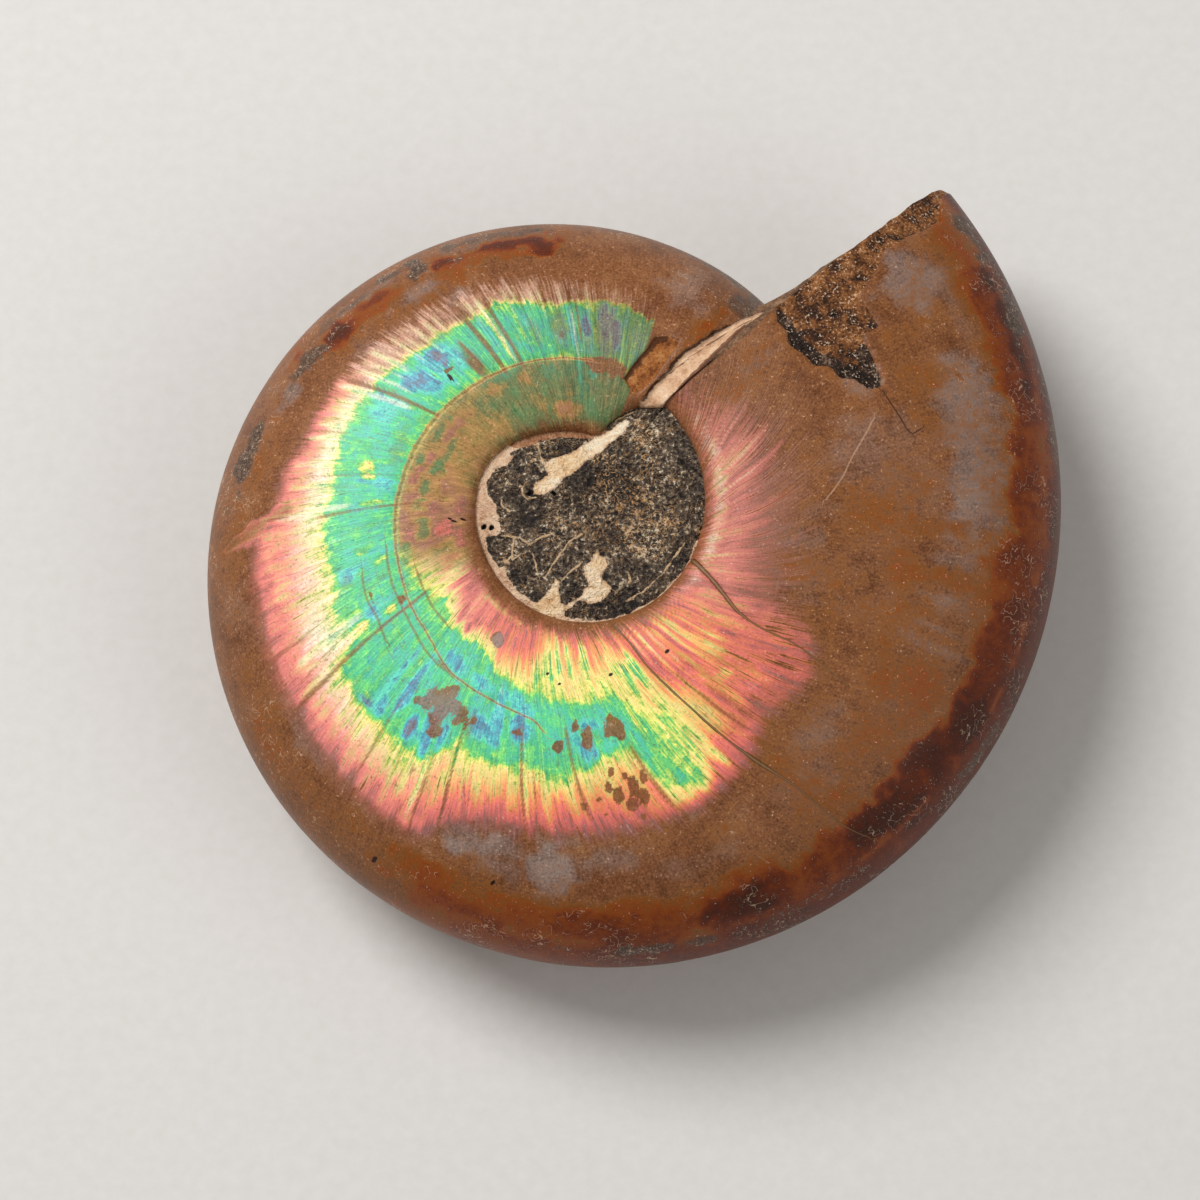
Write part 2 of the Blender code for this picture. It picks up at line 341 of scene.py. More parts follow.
# The colours of the mother of pearl, place by place. Curves are (angle, share), and
# dabs are (angle, share, half sizes, value, strength).
pearl = {
    "underShift": 40.0,                          # degrees that the noise is moved on by below
    "bandPhase": 0.325, "bandDip": 0.04,         # along the green band, and its middle's bluer tint
    "edgePhase": 0.42,                           # at both of the band's edges
    "slopeInner": (0.43, 1.15, 0.83),            # rise towards the navel, its power, the most
    "endLine": 282.0, "startAngles": (66.3, 67.3), "fadeAngles": (322.0, 338.0),
    "veilAngles": (140.0, 158.0), "cloudyAngles": (210.0, 194.0),
    "innerZone": (0.478, 0.462),                 # the shares between which the inner band begins
    # a painted highlight along the navel's shoulder
    "highlightBand": (0.284, 0.016),                  # middle share and width of the pale rim
    "greenOuter": (
        (66, .665), (75, .66), (79, .675), (90, .655), (96, .635), (100, .645), (104, .665), (111, .67),
        (118, .655), (128, .65), (134, .645), (145, .67), (152, .672), (162, .67), (168, .655),
        (175, .652), (180, .668), (188, .65), (195, .632), (200, .645), (203, .66), (209, .62),
        (211, .67), (213, .69), (222, .70), (228, .69), (232, .70), (237, .69), (239, .66), (242, .60),
        (246, .63), (252, .615), (258, .60), (266, .605), (270, .60), (275, .56), (281, .54),
        (284, .60), (287, .655), (291, .655), (294, .63), (297, .55), (300, .45)),
    "greenInner": (
        (65, .50), (88, .49), (130, .49), (178, .485), (190, .475), (205, .45), (212, .40), (217, .405),
        (222, .43), (231, .415), (236, .405), (241, .43), (250, .445), (258, .45), (264, .46),
        (269, .455), (274, .45), (279, .445), (284, .46), (289, .49), (294, .53), (298, .56)),
    "outer": (
        (66, .68), (76, .73), (90, .72), (105, .745), (120, .745), (140, .76), (160, .77), (164, .765),
        (170, .80), (178, .80), (183, .85), (190, .87), (211, .872), (214, .865), (226, .875),
        (235, .875), (243, .865), (246, .80), (252, .765), (262, .75), (275, .74), (290, .715),
        (300, .68), (305, .65), (310, .61), (322, .615), (328, .58), (333, .52), (345, .49), (360, .48),
        (374, .46), (390, .42), (403, .35)),
    "innerEdge": (
        (60, .275), (175, .275), (190, .297), (250, .297), (262, .292), (285, .288), (310, .282),
        (330, .268), (345, .260), (405, .262)),
    "innerSpan": (
        (65, .30), (170, .30), (190, .20), (205, .12), (211, .07), (222, .06), (236, .06), (245, .08),
        (252, .12), (258, .18), (270, .18), (280, .16), (290, .14)),
    "slopeOuter": (
        (65, .42), (155, .44), (168, .46), (178, .50), (186, .56), (205, .52), (222, .58), (232, .64),
        (250, .60), (262, .60), (300, .50)),
    # painted shade on the pearl by angle, darkest over the top of the flank, where the pearl is also
    # duller
    "dim": (
        (66, .56), (74, .56), (90, .64), (100, .72), (112, .82), (122, .88), (135, .95), (150, 1),
        (300, 1), (330, .95), (400, .9)),
    "fray": ((160, 1), (185, .45), (243, .5), (250, 1)),
    "bandAmount": ((66, 0), (67.5, .9), (300, 1), (330, 1)),
    "fringeAmount": (
        (66, .20), (78, .46), (90, .50), (110, .52), (128, .52), (140, .62), (150, .76), (160, .95),
        (168, 1.1), (262, 1.05), (285, .95), (300, .85), (328, .80), (331, .72), (400, .72)),
    "innerAmount": ((65, .8), (190, .9), (205, 1), (330, 1), (350, .95), (380, .85), (400, .55)),
    "film": (
        (66, .55), (74, .62), (84, .62), (90, .85), (100, 1), (300, 1), (312, .90), (324, .80),
        (332, .76), (345, .74), (375, .72), (400, .5)),
    "endPhase": (
        (282, .30), (286, .38), (291, .43), (294, .52), (297, .60), (300, .70), (305, .76), (320, .82),
        (335, .86), (400, .88)),
    # partly pale pearl, partly painted highlight, strongest towards the light
    "whiteness": (
        (66, .1), (100, .2), (120, .3), (140, .5), (150, .75), (165, .78), (178, .70), (186, .55),
        (192, .55), (197, .62), (205, .85), (212, .55), (222, .4), (232, .25), (245, .2), (260, .05),
        (330, 0)),
    "phaseDabs": (
        (77.5, .575, 1.8, .055, .08, .9), (81.5, .60, 2.2, .07, .0, .6), (78, .66, .8, .05, .44, .8),
        (85.3, .60, .6, .09, .43, .7), (87.6, .575, 1.5, .045, .0, .8), (87, .52, 2.6, .03, .25, .8),
        (88, .655, 2, .02, .46, .5), (92, .575, 1.2, .08, .19, 1), (95.5, .545, 2.4, .045, .20, .7),
        (99.5, .66, 1, .035, .50, .9), (102, .57, 1.6, .08, .28, .6), (107.2, .60, .5, .11, .45, .8),
        (109.8, .57, 1.6, .09, .27, .6), (110, .67, 2, .02, .40, .7), (113.6, .58, .75, .12, .49, 1),
        (116, .58, 1, .10, .24, .7), (121, .57, 1.6, .07, .31, .7), (127.6, .58, 1.4, .06, .15, .9),
        (130.9, .60, 1.7, .04, -.02, .9), (134, .595, 1.4, .05, .13, .9),
        (139.2, .58, 3.0, .05, .055, 1), (137.8, .535, 2.6, .022, .12, .8),
        (133.5, .525, 1.6, .025, .21, .8), (147.6, .60, 1.3, .07, .20, .9),
        (152.5, .605, 2.8, .045, .18, .9), (158, .60, 2.8, .06, .23, .6),
        (146.6, .545, .8, .018, .46, .8), (155, .525, 6, .02, .31, .7), (160, .655, 3, .018, .24, .6),
        (162, .56, 2.4, .03, .24, .6), (170.4, .555, .7, .04, .09, .9),
        (167.5, .578, 2.4, .020, .55, .7), (169.5, .562, 1.0, .014, .56, .7),
        (171, .52, 1.5, .03, .12, .6), (176.6, .54, .9, .035, .46, .9), (173.5, .60, 2, .05, .27, .5),
        (186, .55, 2.4, .04, .28, .5), (194.5, .61, 2.2, .028, .13, .8), (190, .56, 1.2, .02, .50, .5),
        (193, .52, 1.4, .016, .42, .8), (200, .63, 2, .03, .33, .7), (205.6, .575, 2.4, .02, .10, .8),
        (204.2, .645, 1.4, .05, .40, .8), (207.4, .615, 1.1, .03, .54, .9),
        (207.6, .525, 1.7, .018, .48, .9), (215, .56, 1.8, .06, .35, .7), (213, .62, 2.2, .05, .30, .6),
        (218, .60, 1.5, .08, .27, .6), (203, .455, 2, .02, .42, .7), (213, .43, 2.4, .03, .36, .8),
        (222, .62, 1.6, .09, .19, .9), (224.3, .67, 1.0, .03, .09, .9), (221.3, .69, 1.6, .010, .0, .8),
        (226.8, .60, 1.3, .07, .07, .95), (229, .672, 1.6, .02, .34, .8),
        (231.6, .655, 1.3, .035, .0, .95), (236, .645, 1.0, .06, .05, .95),
        (238.4, .625, 1.0, .05, .11, .9), (234.4, .63, .9, .04, .12, .8),
        (240.3, .60, 1.0, .05, .27, .7), (245.5, .565, 3.6, .032, .08, .85),
        (248.5, .535, 2.0, .04, .11, .9), (254.5, .53, 2.8, .022, .07, .85),
        (255.5, .485, 2.6, .018, .12, .8), (263, .55, 2.4, .05, .25, .8),
        (246, .605, 1.6, .02, .34, .8), (252.5, .60, 1.4, .018, .30, .7),
        (229.5, .470, 3.2, .018, .10, .9), (240, .472, 5, .018, .12, .8), (250, .472, 4, .016, .14, .7),
        (262, .47, 3, .016, .25, .8), (271.5, .555, 2.2, .025, .10, .8), (268, .52, 1.5, .02, .22, .8),
        (272, .495, 2.8, .014, .12, .7), (275.5, .545, 1.5, .012, .2, .6),
        (289.8, .635, 1.2, .02, .26, .8), (286.6, .61, 1, .03, .42, .7),
        (297.8, .62, 1.1, .032, .40, .85), (277, .41, 1.4, .045, .42, .8),
        (271.5, .38, 1.2, .06, .40, .8), (287, .38, 3.4, .055, .50, .95), (286.5, .43, 3, .03, .52, .8),
        (261, .37, 4, .05, .49, .8), (232, .302, 11, .009, .55, .7), (257, .31, 5, .02, .60, .6),
        (222.5, .375, 2.2, .022, .98, .7), (226.5, .392, 1.6, .014, 1.0, .8),
        (309, .482, 3, .010, .56, .9), (303.6, .50, 1, .03, .72, .8), (311, .40, 3.5, .05, .70, .6),
        (318.3, .425, .8, .02, 1.0, .7), (305, .35, 1.2, .06, .62, .6), (308.5, .36, .9, .06, .60, .6),
        (301, .33, 1.0, .03, .58, .5), (312, .575, 7, .030, .90, .8), (322, .56, 3, .05, .86, .7),
        (308, .54, 1.2, .03, .70, .7), (306, .49, 3, .03, .76, .6), (296, .375, 1.2, .02, 1.0, .6),
        (326, .33, 4, .03, .80, .7), (350, .286, 24, .016, .72, .9), (374, .284, 16, .015, .71, .9),
        (291, .60, 3.6, .07, .40, .8), (296, .57, 1.6, .06, .50, .8), (289, .67, 2, .02, .46, .8),
        (293.5, .50, 1.6, .06, .48, .7), (266, .37, 1.6, .07, .41, .8), (271, .34, 1.5, .04, .44, .8),
        (281.5, .40, 2, .05, .52, .8), (262, .34, 1.2, .04, .58, .6), (186, .80, 4, .03, .70, .6),
        (193, .78, 3, .03, .62, .6), (198, .82, 3, .02, .72, .6), (215, .79, 3, .03, .66, .6),
        (224, .80, 3, .02, .76, .6), (229, .775, 2, .02, .60, .6), (238, .78, 2, .03, .58, .6),
        (240, .82, 3, .02, .78, .6), (207, .35, 3, .05, .44, .7), (203, .33, 2, .03, .52, .7),
        (210, .40, 2, .03, .42, .7)),
    "filmDabs": (
        (70, .58, 3, .09, .45, .8), (80.5, .58, 3.4, .09, .34, .9), (88, .56, 1.6, .06, .55, .8),
        (95.5, .575, 3.0, .06, .42, .9), (103, .56, 1.6, .05, .6, .7), (123.5, .53, 2, .06, .4, .9),
        (128, .66, 6, .02, .6, .5), (95.4, .545, .8, .012, .15, .9), (160, .515, 5, .022, .66, .8),
        (154, .53, 3, .018, .75, .7), (147, .50, 3, .015, .7, .7), (198, .525, 1.2, .010, .25, .8),
        (196.5, .615, 1.6, .015, .5, .6), (223, .53, 2.6, .02, .75, .5), (221, .69, 1.8, .012, .4, .6),
        (242.6, .57, 1.2, .03, .4, .7), (312, .585, 9, .030, .62, .8), (306, .53, 1.0, .05, .35, .8),
        (304.5, .43, .8, .05, .5, .7), (340, .46, 5, .04, .55, .6), (352, .40, 5, .06, .62, .6),
        (334, .44, 3, .06, .6, .6), (272.5, .64, 1.5, .04, .75, .6)),
    # growth angle, shares from and to, half width in degrees, amount
    "brightLines": (
        (74.5, .60, .70, .5, .6), (78.0, .64, .72, .4, .5), (85.3, .52, .72, .5, .6),
        (90.3, .47, .66, .55, .9), (92.3, .62, .73, .4, .7), (97.6, .60, .70, .5, .8),
        (99.4, .64, .73, .5, .6), (101.3, .52, .70, .4, .6), (103.6, .56, .73, .4, .6),
        (105.4, .50, .73, .4, .7), (108.5, .62, .72, .4, .6), (112.2, .47, .72, .65, .9),
        (114.4, .62, .76, .45, .8), (116.8, .66, .74, .3, .5), (121, .50, .60, .4, .4),
        (122.6, .66, .74, .4, .6), (124.8, .64, .74, .5, .8), (127.6, .60, .75, .4, .8),
        (130.4, .62, .72, .4, .6), (132.4, .62, .75, .5, .8), (134.6, .64, .74, .35, .6),
        (137.0, .63, .77, .7, 1.0), (139.6, .62, .75, .5, .8), (142.1, .58, .75, .6, 1.0),
        (146.6, .55, .77, .9, 1.0), (150, .66, .76, .5, .6), (152, .66, .75, .6, .6),
        (156, .66, .76, .5, .8), (159, .66, .78, .6, .8), (165, .66, .79, .9, .7),
        (176.0, .60, .80, .8, 1.0), (170.5, .66, .77, .8, .5), (203.6, .60, .80, .9, 1.0),
        (205.6, .66, .80, .5, .8), (208.2, .70, .80, .4, .5), (215.6, .70, .78, .5, .6),
        (235.4, .66, .84, .5, .7), (232.6, .68, .80, .4, .6), (221, .72, .82, .5, .5),
        (255.2, .55, .78, .5, .6), (259, .56, .76, .5, .5), (252, .60, .74, .4, .4),
        (199.4, .40, .50, .4, .5), (268.3, .30, .42, .7, .6), (262.6, .30, .42, .6, .5),
        (303, .29, .40, .8, .8), (306.3, .29, .42, .7, .8), (311, .29, .40, .7, .6),
        (316, .29, .44, .5, .5), (321, .29, .40, .5, .5), (299.5, .29, .38, .8, .7),
        (352, .29, .34, .8, .6), (385, .29, .44, .8, 1.0), (393, .29, .40, .7, .9),
        (377, .30, .38, .6, .6), (404, .27, .38, .6, .9), (408, .27, .36, .5, .8),
        (414, .26, .33, .4, .6), (397, .28, .36, .4, .6)),
    "bareLines": (
        (72.8, .48, .70, .5, .6), (81.8, .50, .70, .5, .4), (88.6, .52, .70, .45, .9),
        (97.0, .50, .62, .4, .5), (102.6, .48, .70, .4, .8), (104.4, .48, .68, .4, .5),
        (107.6, .48, .68, .3, .5), (110.6, .46, .70, .7, 1.0), (117.2, .46, .74, .8, 1.2),
        (122.6, .50, .62, .7, 1.1), (124.2, .48, .56, 1.3, 1.0), (128.4, .60, .72, .3, .5),
        (135.6, .60, .74, .3, .5), (143.6, .60, .74, .4, .6), (144.9, .47, .76, .65, 1.1),
        (148.6, .66, .77, .4, .6), (154.4, .66, .77, .3, .6), (157.5, .66, .79, .4, .8),
        (161.5, .70, .80, .4, .7), (168.0, .48, .80, .35, .8), (170.8, .52, .82, .4, .6),
        (173.4, .72, .82, .3, .5), (177.6, .44, .70, .5, .9), (175.6, .76, .84, .5, .8),
        (182.4, .28, .60, .35, .7), (180.6, .76, .90, .35, .6), (192, .50, .66, .3, .4),
        (196, .36, .66, .35, .6), (186, .66, .82, .25, .4), (209.3, .42, .86, .6, 1.0),
        (200, .74, .90, .6, .7), (214.4, .46, .80, .35, .6), (217, .56, .80, .3, .5),
        (224.6, .62, .84, .45, .8), (228.4, .72, .84, .35, .6), (236.4, .66, .86, .4, .8),
        (240.6, .56, .84, .4, .9), (243.0, .34, .44, .4, .6), (244.6, .50, .80, .3, .6),
        (248, .34, .50, .4, .6), (249, .56, .80, .35, .6), (254.6, .50, .96, .45, .9),
        (257, .60, .92, .4, .7), (251.5, .28, .44, .5, .7), (258.6, .28, .42, .3, .5),
        (265.6, .50, .72, .6, .8), (270, .56, .74, .4, .6), (275, .56, .74, .4, .6),
        (279.4, .54, .72, .6, .9), (283.6, .48, .70, .35, .6), (288.6, .60, .70, .3, .5),
        (302, .42, .62, .6, .9), (303.6, .30, .44, .35, .6), (313.5, .40, .50, .35, .7),
        (308.6, .30, .42, .3, .6), (318.5, .30, .42, .3, .4), (366, .30, .42, .5, .5),
        (389, .29, .38, .5, .5), (398, .29, .38, .5, .6)),
    # the misty inner band: 0 sea green, .2 green, .35 olive, .5 tan olive, .65 tan,
    # .8 purple brown, 1 red mauve
    "mistDabs": (
        (72, .40, 5, .05, .30, .9), (84.5, .435, 2.2, .028, .02, 1), (78, .38, 6, .05, .36, .7),
        (80, .305, 8, .022, .20, .8), (89.3, .42, 1.0, .06, .0, .9), (88.5, .345, 1.6, .04, .12, .8),
        (96, .44, 5, .022, .18, .7), (102, .43, 5, .025, .10, .8), (100, .385, 8, .03, .30, .7),
        (108, .345, 5, .03, .52, .7), (98, .315, 9, .028, .78, .8), (111, .36, 4, .03, .45, .6),
        (112, .43, 2.4, .03, .80, .6), (119, .455, 6, .016, .10, .9), (118, .40, 5, .03, .24, .7),
        (124, .43, 4, .02, .78, .6), (130, .415, 5, .02, .34, .6), (118, .33, 6, .03, .22, .7),
        (129, .36, 4, .035, .30, .6), (133, .34, 5, .04, .60, .6), (150, .452, 9, .010, .42, .9),
        (146, .47, 8, .008, .34, .6), (150, .44, 6, .010, .16, .8), (161, .452, 2, .012, .10, .8),
        (145, .415, 11, .014, .82, .8), (160, .428, 5, .010, .86, .8), (154, .39, 7, .014, .32, .9),
        (162, .395, 3, .02, .20, .9), (145, .375, 8, .014, .55, .7), (150, .325, 18, .03, .62, .8),
        (168, .445, 4, .012, .95, .9), (175, .435, 3, .010, .90, .7), (172, .412, 5, .014, .26, .9),
        (177, .425, 3, .010, .30, .8), (184, .405, 5, .02, .34, .9), (170, .385, 8, .012, .62, .7),
        (178, .375, 4, .014, .84, .8), (186, .40, 3, .01, .30, .7), (186, .345, 5, .026, .98, .9),
        (178, .335, 5, .02, .68, .7), (176, .31, 6, .012, .90, .6), (192, .31, 6, .016, .97, .8),
        (188, .44, 4, .012, .95, .6), (194, .45, 3, .016, .05, .8), (198, .38, 3, .04, .38, .8),
        (192, .37, 2, .04, .85, .5), (206, .335, 4, .03, .36, .9), (207, .395, 2, .04, .52, .8)),
    "mist": (
        (65, .30), (88, .26), (96, .30), (125, .32), (136, .46), (150, .58), (165, .62), (185, .75),
        (200, .55), (212, .5)),
    # noise along the growth lines: strength, width in degrees, changes across
    "strandLayers": ((0.45, 0.62, 6.0), (0.5, 1.5, 4.0), (0.4, 3.4, 3.0)),
    "strokeLayers": ((1.0, 1.05, 4.0), (0.6, 2.3, 3.0)),
    "bendOuter": ((160, .8), (210, .8), (235, 1.15), (400, 1.15)),
    "strokes": (
        (200, 0), (212, .08), (245, .09), (258, .11), (285, .10), (292, .17), (325, .18), (333, .10),
        (340, .06), (405, .06)),
    "warm": ((225, 0), (242, .6), (255, .8), (322, .8), (334, .2), (342, 0)),
}


def stained(angle, share, side):
    # rust, with its own slow drift between ochre and brown; along the rim it is partly painted shade
    rust = along(stains["ochre"], angle) + 0.13 * rough(angle / 9.0, share * 9.0, 3.0 * side, seed=60)
    edge = 1.1 * rough(angle / 2.4, share * 30.0, 2.0 * side, 61, 4)
    middle, width = stains["keelBand"]
    within = smooth(2.0, 0.4, np.abs(share - middle) / width + 0.8 * edge)
    uneven = 1.0 + 0.30 * rough(angle / 4.0, share * 16.0, side, seed=64)
    rust = np.maximum(rust, along(stains["keelRust"], angle) * within * uneven)
    rimRustAndShade = along(stains["rimRustAndShade"], angle) * smooth(0.945, 0.975, share + 0.01 * edge)
    rust = np.maximum(rust, rimRustAndShade)
    for atAngle, atShare, reach, width, value, strength in stains["rust"]:
        away = np.hypot((angle - atAngle) / reach, (share - atShare) / width) + edge
        rust = mixed(rust, value, strength * (1.0 - smooth(0.55, 1.6, away)))
    return rust


def lineField(lines, share, items):
    # the strongest of a list of stripes that follow the growth lines, uneven in width
    best = np.zeros(lines.shape)
    uneven = 0.25 * rough(share * 30.0, lines / 3.0, seed=17, octaves=3)
    for at, begin, end, width, amount in items:
        within = smooth(begin - 0.03, begin + 0.02, share) * smooth(end + 0.02, end - 0.03, share)
        away = np.abs(lines - at + 0.2 * uneven) / (width * (1.0 + uneven))
        best = np.maximum(best, amount * within * np.clip(1.5 - away, 0.0, 1.0))
    return best


def pearlPlaces(angle, share, side, wedgeAway):
    # where a point lies among the bands: outward runs from 0 at the green band's outer
    # edge to 1 at the pearl's, inward runs the other way to the navel, and within
    # crosses the green band. Strand and blocks are the noise that frays them all.
    lines = growthAngle(angle, share)
    flow = lines + pearl["underShift"] * (side < 0)
    strand = strands(flow, share, pearl["strandLayers"], 11)
    blocks = rough(flow / 2.6, share * 30.0, seed=14, octaves=3)
    greenOuter = along(pearl["greenOuter"], angle) + 0.016 * strand
    greenInner = along(pearl["greenInner"], angle) + 0.010 * strand
    outer = along(pearl["outer"], angle)
    outward = (share - greenOuter) / np.maximum(outer - greenOuter, 0.05)
    across = (share - greenInner) / np.maximum(greenOuter - greenInner, 0.02)
    innerZone = smooth(*pearl["innerZone"], share)
    cloudEnd = angle + 3.0 * strand + 60.0 * (share - 0.35)
    veiled = 1.0 - smooth(*pearl["veilAngles"], angle)
    faded = ramp(0.30, 1.0, (share - 0.26) / np.maximum(outer - 0.26, 0.05))
    return {
        "angle": angle, "share": share, "lines": lines, "flow": flow,
        "strand": strand, "blocks": blocks, "outer": outer, "outward": outward,
        "inward": (greenInner - share) / along(pearl["innerSpan"], angle),
        "within": ramp(0.0, 1.0, across), "innerZone": innerZone,
        "cloudy": innerZone * smooth(*pearl["cloudyAngles"], cloudEnd),
        "bright": lineField(lines, share, pearl["brightLines"]),
        "fading": smooth(*pearl["fadeAngles"], angle) * faded,
        "veil": veiled * smooth(0.0, 0.35, outward) * (share > 0.5),
        "wedge": smooth(0.95, 0.1, np.abs(wedgeAway) + 0.7 * blocks + 0.3 * strand),
    }


def pearlPhase(at):
    # the order of the interference colour. It is about 0.3, green, along the band, and
    # rises through yellow and pink to both of its sides and past its end.
    angle, share, lines = at["angle"], at["share"], at["lines"]
    strand, blocks, bright = at["strand"], at["blocks"], at["bright"]
    phase = pearl["bandPhase"] - pearl["bandDip"] * np.sin(np.pi * at["within"])
    phase = phase + 0.07 * blocks + 0.03 * strand
    bent = np.clip(at["outward"], 0.0, 1.3) ** along(pearl["bendOuter"], angle)
    risen = pearl["edgePhase"] + along(pearl["slopeOuter"], angle) * bent
    phase = mixed(phase, risen + 0.05 * strand + 0.03 * blocks, smooth(-0.02, 0.07, at["outward"]))
    slope, power, most = pearl["slopeInner"]
    fallen = pearl["edgePhase"] + slope * np.clip(at["inward"], 0.0, 2.0) ** power
    fallen = np.minimum(fallen, most)
    phase = mixed(phase, fallen + 0.03 * strand + 0.03 * blocks, smooth(-0.02, 0.10, at["inward"]))
    ended = along(pearl["endPhase"], lines) + 0.07 * strand + 0.05 * blocks
    ended = ended + 0.16 * smooth(326.0, 340.0, angle) * smooth(0.32, 0.44, share)
    phase = np.where(lines > pearl["endLine"], np.maximum(phase, ended), phase)
    phase = dabbed(phase, lines, share, pearl["phaseDabs"], 0.5, 21)
    strokes = strands(at["flow"], share, pearl["strokeLayers"], 18)
    streaky = along(pearl["strokes"], lines) * smooth(0.46, 0.40, share)
    phase = phase + streaky * (strokes - 0.35 * smooth(286.0, 296.0, lines))
    phase = phase - 0.16 * bright * smooth(0.45, 0.6, phase)
    phase = mixed(phase, 0.70 + 0.03 * strand, 0.8 * at["veil"] * (1.0 - bright))
    return mixed(phase, 0.72 + 0.07 * strand, at["wedge"])


def pearlMist(at):
    # the order of the misty colours of the inner band
    mist = along(pearl["mist"], at["angle"])
    mist = mist + 0.22 * rough(at["angle"] / 3.5, at["share"] * 26.0, seed=16)
    mist = dabbed(mist, at["lines"], at["share"], pearl["mistDabs"], 0.55, 27)
    return mist + 0.05 * at["strand"]


def pearlAmount(at):
    # how much pearl there is: the material's noise breaks it up where there is little
    angle = at["angle"]
    amount = along(pearl["bandAmount"], at["lines"])
    amount = mixed(amount, along(pearl["fringeAmount"], angle), smooth(-0.05, 0.2, at["outward"]))
    amount = mixed(amount, along(pearl["innerAmount"], angle), at["innerZone"])
    begun = smooth(*pearl["startAngles"], angle + 0.6 * at["strand"])
    amount = amount * begun * (1.0 - 0.62 * at["fading"])
    return np.maximum(amount + 0.35 * at["bright"], at["wedge"])


def pearlFilm(at):
    # how well the pearl hides the brown under it
    angle, share, veil = at["angle"], at["share"], at["veil"]
    film = dabbed(along(pearl["film"], angle), at["lines"], share, pearl["filmDabs"], 0.5, 28)
    film = mixed(film, 0.88 + 0.2 * at["blocks"], at["cloudy"])
    film = film * (1.0 - 0.55 * veil) * (1.0 - 0.55 * at["fading"]) + 0.45 * at["bright"] * veil
    thin = 0.62 * smooth(0.838, 0.848, share + 0.004 * at["blocks"]) * smooth(186.0, 192.0, angle)
    return mixed(film * (1.0 - thin), 0.38 * smooth(0.93, 0.80, share), at["wedge"])


def pearlWhite(at):
    # where the colours pale: outside the green band, in the veil, and beside the stone. Towards the
    # light the paling is partly painted highlight, and beside the stone it is a painted highlight.
    angle, share = at["angle"], at["share"]
    white = along(pearl["whiteness"], angle) * bell(at["outward"], 0.28, 0.30)
    white = white * (1.0 - at["cloudy"]) * (share > 0.5)
    begun, ended = smooth(316.0, 328.0, angle), smooth(404.0, 394.0, angle)
    navelHighlight = bell(share, *pearl["highlightBand"]) * begun * ended
    return np.maximum(np.maximum(white, 0.55 * at["veil"]), (0.50 + 0.6 * at["blocks"]) * navelHighlight)


def pearlFringe(at):
    # where the pearl breaks up into strands: past both edges and past the band's end
    fringe = np.maximum(smooth(-0.10, 0.30, at["outward"]), smooth(0.0, 0.5, at["inward"]))
    fringe = np.maximum(fringe * (1.0 - at["cloudy"]), smooth(280.0, 295.0, at["lines"]))
    return fringe * mixed(0.35, 1.0, smooth(135.0, 165.0, at["angle"]))


def pearlFields(angle, share, side, top):
    # everything that the material of the pearl reads from the mesh
    at = pearlPlaces(angle, share, side, top["wedge"])
    lines, cloudy = at["lines"], at["cloudy"]
    outerGap = at["outer"] + 0.12 * at["wedge"] - share
    return {
        "phase": pearlPhase(at), "pearl": pearlAmount(at), "film": pearlFilm(at),
        "white": pearlWhite(at), "fringe": pearlFringe(at), "mist": pearlMist(at),
        "cloudy": cloudy, "bright": at["bright"],
        "gap": np.minimum(outerGap, share - along(pearl["innerEdge"], angle)),
        "warm": along(pearl["warm"], lines), "fray": along(pearl["fray"], angle),
        "bareLine": lineField(lines, share, pearl["bareLines"]),
        "dim": mixed(along(pearl["dim"], angle), 0.96, 0.6 * cloudy),
    }


